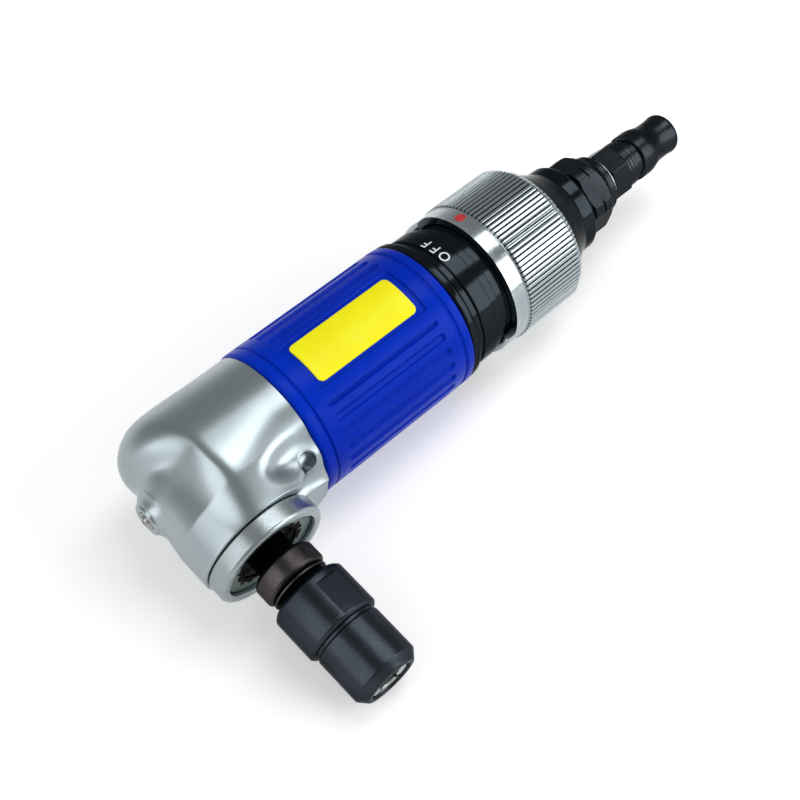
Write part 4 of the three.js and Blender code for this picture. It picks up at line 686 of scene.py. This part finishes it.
# the grip sleeve and its label
sleeve = {
    "columns": 860, "radius": 21.2, "skin": 0.8, "flutes": 26, "fluteWidth": 2.5, "fluteDepth": 0.8,
    "fluteWall": 0.55, "wallShare": 0.85, "fluteSpan": (30.0, 67.2), "labelAngle": math.radians(91),
    "gap": math.radians(30.8),
    "recess": {"span": (30.1, 66.8), "width": 15.5, "corner": 0.8, "depth": 0.65, "wall": 0.3},
    "fineSpans": ((29.6, 32.0), (65.2, 67.5)), "fineStep": 0.15, "plainSpan": (33.0, 65.0), "plainStep": 1.6,
    "profile": [
    (22.8, 18.5), (22.8, 20.4, 0.1), (23.4, 21.2, 0.5), (25.85, 21.2, 0.12), (26.2, 20.72, 0.12),
    (26.45, 20.72, 0.12), (26.8, 21.2, 0.12), (70.3, 21.2, 0.14), (70.75, 20.7, 0.14), (71.25, 20.7, 0.14),
    (71.7, 21.2, 0.14), (73.8, 21.2, 0.3), (74.2, 20.8, 0.2), (74.2, 18.5)]}


def sleeveRule(station, radius, angle):
    top = sleeve["radius"]
    pitch = (2 * math.pi - 2 * sleeve["gap"]) / (sleeve["flutes"] - 1)
    first = sleeve["labelAngle"] + sleeve["gap"]
    index = np.clip(np.round(((angle - first) % (2 * math.pi)) / pitch), 0, sleeve["flutes"] - 1)
    off = (angle - first - index * pitch + math.pi) % (2 * math.pi) - math.pi
    half = sleeve["fluteWidth"] / 2
    low, high = sleeve["fluteSpan"]
    past = np.maximum(np.abs(station - (low + high) / 2) - (high - low) / 2 + half, 0)
    inside = half - np.hypot(past, off * top)
    wallShare = sleeve["wallShare"]
    cut = sleeve["fluteDepth"] * (wallShare * smoothShare(inside / sleeve["fluteWall"])
                                  + (1 - wallShare) * np.clip(inside / half, 0, 1))
    recess = sleeve["recess"]
    start, end = recess["span"]
    side = (angle - sleeve["labelAngle"] + math.pi) % (2 * math.pi) - math.pi
    edge = roundedCorner(np.abs(station - (start + end) / 2) - (end - start) / 2,
                         np.abs(side * top) - recess["width"] / 2, recess["corner"])
    cut = cut + recess["depth"] * smoothShare(-edge / recess["wall"])
    return np.where(radius > top - sleeve["skin"], radius - cut, radius)


def sleeveShape():
    # rows lie close where the flutes and the recess end
    rows = [s for low, high in sleeve["fineSpans"] for s in np.arange(low, high, sleeve["fineStep"])]
    rows = sorted(rows + list(np.arange(*sleeve["plainSpan"], sleeve["plainStep"])))
    profile = eased(sleeve["profile"])
    plain = sleeve["radius"] - 0.05
    outline = []
    for a, b in zip(profile[:-1], profile[1:]):
        outline.append(a)
        if min(a[1], b[1]) > plain:
            outline += [np.array([s, sleeve["radius"]]) for s in rows if a[0] < s < b[0]]
    outline.append(profile[-1])
    return turnedGrid(outline, sleeve["columns"], sleeveRule)


addPiece("grip_cover", sleeveShape(), "bluePlastic", ["grip_sleeve"], "blue_plastic", sharp=48)

label = {"span": (32.2, 64.7), "width": 12.6, "corner": 1.6, "floor": 20.56, "thick": 0.35,
         "angle": sleeve["labelAngle"], "arcPoints": 9, "spacing": 0.8, "innerRings": 14}


def labelShape():
    start, end = label["span"]
    corner, thick = label["corner"], label["thick"]
    # from the middle to where the corners begin
    straightLength, straightWidth = (end - start) / 2 - corner, label["width"] / 2 - corner
    halfLength, halfWidth = straightLength + corner, straightWidth + corner
    corners = []
    for k, (signX, signY) in enumerate(((1, 1), (-1, 1), (-1, -1), (1, -1))):
        for t in np.linspace(0, math.pi / 2, label["arcPoints"]) + k * math.pi / 2:
            corners.append(np.array([signX * straightLength + corner * math.cos(t),
                                     signY * straightWidth + corner * math.sin(t)]))
    outline = np.array(refined(corners + corners[:1], label["spacing"])[:-1])
    # how far each ring lies inside the edge and how high it stands
    levels = [(0.0, 0.0), (0.0, thick - 0.1), (0.08, thick - 0.02), (0.2, thick)]
    levels += [(inset, thick) for inset in np.linspace(0.5, halfWidth - 0.1, label["innerRings"])]
    rings = []
    for inset, lift in levels:
        radius = label["floor"] + lift
        station = (start + end) / 2 + outline[:, 0] * (1 - inset / halfLength)
        rings.append(aroundAxis(station, radius,
                                label["angle"] + outline[:, 1] * (1 - inset / halfWidth) / radius))
    return stackedRings(rings)


addPiece("blank_label", labelShape(), "yellowLabel", ["label_plate"], "yellow_label", even=False)
print("grip built")


# the valve body, its lettering and the throttle ring
valve = {"columns": 240, "step": 2.0, "profile": [
    (69.9, 0.0), (69.9, 15.7), (74.5, 15.7), (74.5, 20.6, 0.2), (74.9, 21.0, 0.25), (76.6, 21.0, 0.7),
    (77.4, 20.1, 0.6), (77.5, 19.2, 0.2), (79.4, 19.2, 0.1), (79.5, 19.6, 0.15), (79.75, 19.8, 0.15),
    (84.2, 19.8, 0.15), (84.45, 19.55, 0.1), (84.5, 19.3, 0.1), (86.7, 19.3, 0.15), (86.9, 19.1, 0.1),
    (86.9, 18.3, 0.1), (95.3, 18.3), (95.3, 17.5), (97.5, 17.5), (97.5, 16.0), (99.1, 16.0), (99.1, 17.5),
    (108.2, 17.5), (108.2, 16.0), (109.8, 16.0), (109.8, 17.5), (113.6, 17.5), (113.6, 16.3), (115.3, 16.3),
    (115.3, 17.5), (116.7, 17.5), (116.7, 8.3), (96.7, 8.3), (96.7, 6.0), (79.5, 6.0), (79.5, 0.0)]}
addTurned("valve_housing", valve, "blackAnodised", ["valve_body"], "black_anodised")

lettering = {"word": "OFF", "angles": (87.4, 77.6, 68.2), "station": 81.25, "height": 2.8, "radius": 19.8,
             "raise": 0.03, "bold": 0.006}


def letterShape(letter, angleDegrees):
    curve = bpy.data.curves.new("letterOutline", "FONT")
    curve.body = letter
    curve.align_x, curve.align_y = "CENTER", "CENTER"
    curve.offset = lettering["bold"]
    holder = placed("letterOutline", curve)
    bpy.context.view_layer.update()
    flat = bpy.data.meshes.new_from_object(holder.evaluated_get(bpy.context.evaluated_depsgraph_get()))
    bpy.data.objects.remove(holder)
    work = bmesh.new()
    work.from_mesh(flat)
    bmesh.ops.triangulate(work, faces=work.faces)
    bmesh.ops.subdivide_edges(work, edges=work.edges, cuts=1)
    work.verts.index_update()
    flatPoints = np.array([vert.co[:2] for vert in work.verts], float)
    faces = [[vert.index for vert in face.verts] for face in work.faces]
    work.free()
    low, high = flatPoints.min(axis=0), flatPoints.max(axis=0)
    off = (flatPoints - (low + high) / 2) * lettering["height"] / (high[1] - low[1])
    angle = math.radians(angleDegrees) - off[:, 0] / lettering["radius"]
    radius = lettering["radius"] + lettering["raise"]
    return aroundAxis(lettering["station"] - off[:, 1], radius, angle), faces


letters = [letterShape(letter, angle) for letter, angle in zip(lettering["word"], lettering["angles"])]
addPiece("position_word", joined(*letters), "whiteInk", [], None, even=False)

throttle = {
    "radius": 21.2, "ribs": 96, "ribDepth": 0.5, "grooveHalf": 0.24, "wallShare": 0.55, "floorShare": 0.45,
    "crestShare": 0.18, "crown": 0.1, "knurlStart": 95.45, "knurlFade": 0.25, "knurlFloor": 19.6,
    # where the knurl grooves get painted shade: below a radius, between two stations
    "shadeRadius": (20.8, 21.05), "shadeStart": (95.4, 95.7), "shadeEnd": (114.5, 114.8),
    "ringStep": 3.0, "skirtTurn": (math.radians(181), math.radians(396)), "skirtColumns": 120,
    "ring": [(90.6, 18.6), (90.6, 20.6), (95.15, 20.6, 0.12), (95.3, 20.45, 0.1), (95.45, 20.7, 0.1),
             (95.95, 21.2, 0.2), (114.7, 21.2, 0.3), (116.1, 20.45, 0.3), (116.4, 20.1, 0.2), (116.4, 19.0),
             (113.6, 19.0), (113.6, 17.8), (95.6, 17.8), (95.6, 18.6)],
    "skirt": [(90.62, 18.62), (90.62, 20.6), (88.2, 20.6, 0.3), (87.6, 20.1, 0.3), (87.6, 18.6)]}
ribPitch = 2 * math.pi / throttle["ribs"]


def knurlAngles():
    half = throttle["grooveHalf"] / throttle["radius"]
    inner, crest = half * throttle["floorShare"], (ribPitch - 2 * half) * throttle["crestShare"]
    steps = np.array([-half, -inner, inner, half, half + crest, ribPitch / 2, ribPitch - half - crest])
    return np.concatenate([i * ribPitch + steps for i in range(throttle["ribs"])])


def knurlRule(station, radius, angle):
    off = np.abs((angle + ribPitch / 2) % ribPitch - ribPitch / 2) * throttle["radius"]
    wall = throttle["wallShare"] * throttle["grooveHalf"]
    cut = throttle["ribDepth"] * np.clip((throttle["grooveHalf"] - off) / wall, 0, 1)
    crown = throttle["crown"] * (off / (ribPitch * throttle["radius"] / 2) - 1) ** 2
    fade = np.clip((station - throttle["knurlStart"]) / throttle["knurlFade"], 0, 1)
    return np.minimum(radius, np.maximum(radius - (cut + crown) * fade, throttle["knurlFloor"]))


def grooveShadeMask(tree, vector, station, radius):
    # painted shade in the bottoms of the knurl
    low = edgeMask(tree, radius, throttle["shadeRadius"], rising=False)
    within = times(tree, edgeMask(tree, station, throttle["shadeStart"]),
                   edgeMask(tree, station, throttle["shadeEnd"], rising=False))
    return times(tree, low, within)


def throttleShape():
    ring = turnedGrid(refined(eased(throttle["ring"]), throttle["ringStep"]), 0, knurlRule, knurlAngles())
    skirt = sectorGrid(eased(throttle["skirt"]), *throttle["skirtTurn"], throttle["skirtColumns"])
    return joined(ring, skirt)


# darker metal painted into the knurl grooves as shade
grooveShade = {"colour": tone(44, 50, 54), "rough": 0.4, "metal": 1.0}
knurlFinish = coveredFinish("knurledAluminium", "turnedAluminium", grooveShade, barrelFrame, grooveShadeMask)
addPiece("knurled_ring", throttleShape(), knurlFinish, ["throttle_ring"], "turned_aluminium",
         body="throttle", sharp=30)

dot = {"station": 93.5, "angle": math.radians(69), "radius": 1.5, "seat": 20.62, "columns": 40,
       "uneven": 0.03, "levels": [(1.0, -0.35), (1.0, 0.0), (0.93, 0.05), (0.8, 0.07), (0.6, 0.05),
                                  (0.35, 0.02), (0.12, 0.0)]}


def dotShape():
    # a drop of paint: each ring has its share of the radius and its lift
    turn = np.linspace(0, 2 * math.pi, dot["columns"], endpoint=False)
    rings = []
    for share, lift in dot["levels"]:
        out = dot["radius"] * share * (1 + dot["uneven"] * np.sin(3 * turn + 0.6))
        rings.append(aroundAxis(dot["station"] + out * np.cos(turn), dot["seat"] + lift,
                                dot["angle"] + out * np.sin(turn) / dot["seat"]))
    return stackedRings(rings)


addPiece("red_index", dotShape(), "redPaint", ["index_dot"], "red_paint", body="throttle", even=False)
print("valve and throttle built")


# the exhaust cap, bushing, washer and plug
exhaust = {"columns": 240, "step": 2.0, "profile": [
    (117.0, 10.0), (117.0, 8.3), (132.5, 8.3), (132.5, 11.2, 0.3), (132.0, 11.9, 0.3), (131.2, 12.7, 0.4),
    (130.6, 13.2, 0.4), (126.6, 13.2, 0.25), (126.0, 13.4, 0.4), (122.3, 15.4, 1.2), (118.3, 17.9, 0.5),
    (118.1, 18.1, 0.2), (117.0, 18.1, 0.1), (117.0, 16.5), (120.9, 15.2), (120.9, 9.9)]}
addTurned("exhaust_cover", exhaust, "blackAnodised", ["exhaust_cap"], "black_anodised")

bushing = {"columns": 384, "step": 0.35, "sides": 6, "across": 21.1, "flatAngle": 1.035,
           "flats": (132.9, 141.05), "profile": [
    (97.0, 5.0), (97.0, 8.0), (132.8, 8.0), (132.8, 10.55, 0.1), (133.4, 11.45, 0.2), (136.55, 11.45, 0.05),
    (136.65, 11.0, 0.05), (137.1, 11.0, 0.05), (137.2, 11.45, 0.05), (139.8, 11.45, 0.4),
    (141.0, 10.2, 0.2), (141.1, 9.9, 0.2), (142.4, 8.8, 0.6), (144.7, 8.8, 0.2), (145.0, 8.5, 0.1),
    (145.0, 5.4), (137.9, 5.3), (137.9, 5.0)]}
addTurned("hex_bushing", bushing, "blackPlug", ["inlet_bushing"], "black_steel_bushing", sharp=24)

washer = {"columns": 120, "profile": [(145.3, 5.3), (145.3, 7.7, 0.15), (145.9, 7.7, 0.15), (145.9, 5.3)]}
addTurned("seal_washer", washer, "groundSteel", ["plug_washer"], "ground_steel")

plug = {"columns": 300, "step": 0.5, "sides": 6, "across": 14.0, "flatAngle": 0.4887,
        "flats": (146.25, 152.95), "profile": [
    (139.2, 3.75), (139.2, 5.0), (146.2, 5.0), (146.2, 7.6, 0.2), (146.6, 8.0, 0.2), (152.5, 8.0, 0.3),
    (153.0, 6.95, 0.1), (153.4, 6.9, 0.1), (154.1, 6.9, 0.05), (154.2, 6.75, 0.05), (154.35, 6.9, 0.05),
    (155.3, 6.9, 0.05), (155.4, 6.75, 0.05), (155.55, 6.9, 0.05), (156.8, 6.9, 0.15), (157.0, 6.25, 0.1),
    (159.3, 6.2, 0.1), (159.5, 6.9, 0.15), (159.75, 7.1, 0.15), (163.1, 7.1, 0.5), (164.6, 6.9, 0.6),
    (166.3, 6.35, 0.8), (168.2, 5.98, 0.8), (169.6, 5.9, 0.8), (172.5, 5.9, 0.8), (174.3, 6.15, 0.5),
    (175.3, 5.9, 0.4), (175.6, 5.3, 0.3), (175.6, 4.1, 0.25), (175.2, 3.75, 0.2)]}
addTurned("hose_plug", plug, "blackPlug", ["air_plug"], "blacked_steel", sharp=24)
print("rear end built")


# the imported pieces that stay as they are, seen through openings or in poses
insideFinish = {
    "castAluminium": ["motor_housing", "front_end_plate", "rear_end_plate"],
    "brownedSteel": ["driven_bevel_gear", "bevel_pinion"],
    "groundSteel": [
        "grease_check_ball", "grease_spring", "pinion_bearing", "pinion_spacer", "rotor_front_bearing",
        "rotor_rear_bearing", "cylinder_liner", "dowel_pin", "rotor", "detent_ball", "detent_spring",
        "retaining_ring", "upper_bearing", "lower_bearing", "gear_key", "spindle_circlip"],
    "nickel": ["inlet_screen"],
    "blackRubber": ["motor_gasket", "throttle_oring_front", "throttle_oring_rear", "spindle_seal"],
    "vaneFibre": ["vane_1", "vane_2", "vane_3", "vane_4"],
    "greyFelt": ["silencer_ring"],
}
aboutSpindle = {"driven_bevel_gear", "upper_bearing", "lower_bearing", "gear_key", "spindle_circlip",
                "spindle_seal"}
for finishName, nodeNames in insideFinish.items():
    for nodeName in nodeNames:
        mesh = frame["nodes"][nodeName].data
        mesh.materials.clear()
        mesh.materials.append(finish(finishName, spindleFrame if nodeName in aboutSpindle else barrelFrame))
print("inner pieces finished")


# floor, light and camera
studio = {"floorHalf": 4.0, "floorDrop": 0.00005, "floorTone": (0.82, 0.82, 0.82, 1), "white": (1, 1, 1, 1),
          "glowSpan": (0.4, 2.0), "glow": (0.34, 0.62), "skySpan": (0.0, 0.4), "sky": (0.7, 0.4),
          "aim": (0, 0, 0.02)}
# each lamp's place, size and power
lamps = {"keyPanel": ((0.56, -0.72, 0.41), (0.76, 0.68), 5.6),
         "topPanel": ((0.42, -0.03, 0.95), (0.42, 0.78), 3.7),
         "leftPanel": ((-0.87, 0.06, 0.5), (0.42, 0.95), 2.5)}


def buildFloor():
    mesh = bpy.data.meshes.new("floor")
    work = bmesh.new()
    bmesh.ops.create_grid(work, x_segments=2, y_segments=2, size=studio["floorHalf"])
    work.to_mesh(mesh)
    work.free()
    floor = placed("floor", mesh)
    floor.location.z = -studio["floorDrop"]
    material = bpy.data.materials.new("paleFloor")
    tree = emptyTree(material)
    matt = makeNode(tree, "ShaderNodeBsdfDiffuse", {"Color": studio["floorTone"]}).outputs[0]
    # the lamps stand close, so the floor far off gets more of its own white
    where = makeNode(tree, "ShaderNodeTexCoord").outputs["Object"]
    far = makeNode(tree, "ShaderNodeVectorMath", {0: where}, operation="LENGTH").outputs["Value"]
    strength = ramp(tree, far, *studio["glowSpan"], *studio["glow"])
    glow = makeNode(tree, "ShaderNodeEmission", {"Color": studio["white"], "Strength": strength}).outputs[0]
    lit = makeNode(tree, "ShaderNodeAddShader", {0: matt, 1: glow}).outputs[0]
    path = makeNode(tree, "ShaderNodeLightPath").outputs
    seen = mathNode(tree, "MAXIMUM", path["Is Camera Ray"],
                    mathNode(tree, "MAXIMUM", path["Is Glossy Ray"], path["Is Transmission Ray"]))
    mixed = makeNode(tree, "ShaderNodeMixShader", {0: seen, 1: matt, 2: lit}).outputs[0]
    makeNode(tree, "ShaderNodeOutputMaterial", {"Surface": mixed})
    mesh.materials.append(material)


def buildWorld():
    world = bpy.data.worlds.new("studio")
    scene.world = world
    tree = emptyTree(world)
    where = makeNode(tree, "ShaderNodeTexCoord").outputs["Generated"]
    up = makeNode(tree, "ShaderNodeSeparateXYZ", {0: where}).outputs[2]
    level = ramp(tree, up, *studio["skySpan"], *studio["sky"])
    path = makeNode(tree, "ShaderNodeLightPath").outputs["Is Camera Ray"]
    strength = makeNode(tree, "ShaderNodeMix", {0: path, 2: level, 3: 1.0}).outputs[0]
    sky = makeNode(tree, "ShaderNodeBackground", {"Color": studio["white"], "Strength": strength}).outputs[0]
    makeNode(tree, "ShaderNodeOutputWorld", {"Surface": sky})


buildFloor()
buildWorld()
for lampName, (lampPlace, lampSize, lampPower) in lamps.items():
    lamp = bpy.data.lights.new(lampName, "AREA")
    lamp.shape = "RECTANGLE"
    lamp.size, lamp.size_y = lampSize
    lamp.energy = lampPower
    holder = placed(lampName, lamp)
    holder.location = lampPlace
    toAim = Vector(studio["aim"]) - Vector(lampPlace)
    holder.rotation_euler = toAim.to_track_quat("-Z", "Y").to_euler()

# the photo's viewing angle: the place in the tool's own millimetres and the turn in degrees
view = {"focal": 1310.15, "middle": (396.09, 440.67), "frame": 800, "sensor": 36.0,
        "place": (-84.634, -115.414, 289.353), "turn": (28.12459, -5.80049, -43.64751)}


def buildCamera():
    camera = bpy.data.cameras.new("photoView")
    camera.sensor_width = view["sensor"]
    camera.lens = view["focal"] / view["frame"] * view["sensor"]
    camera.shift_x = 0.5 - view["middle"][0] / view["frame"]
    camera.shift_y = view["middle"][1] / view["frame"] - 0.5
    camera.clip_start, camera.clip_end = 0.01, 20
    holder = placed("photoView", camera)
    turn = Euler([math.radians(angle) for angle in view["turn"]]).to_matrix().to_4x4()
    holder.matrix_world = barrelFrame @ Matrix.Translation(Vector(view["place"]) * mm) @ turn
    scene.camera = holder


buildCamera()
scene.view_settings.view_transform = "Standard"
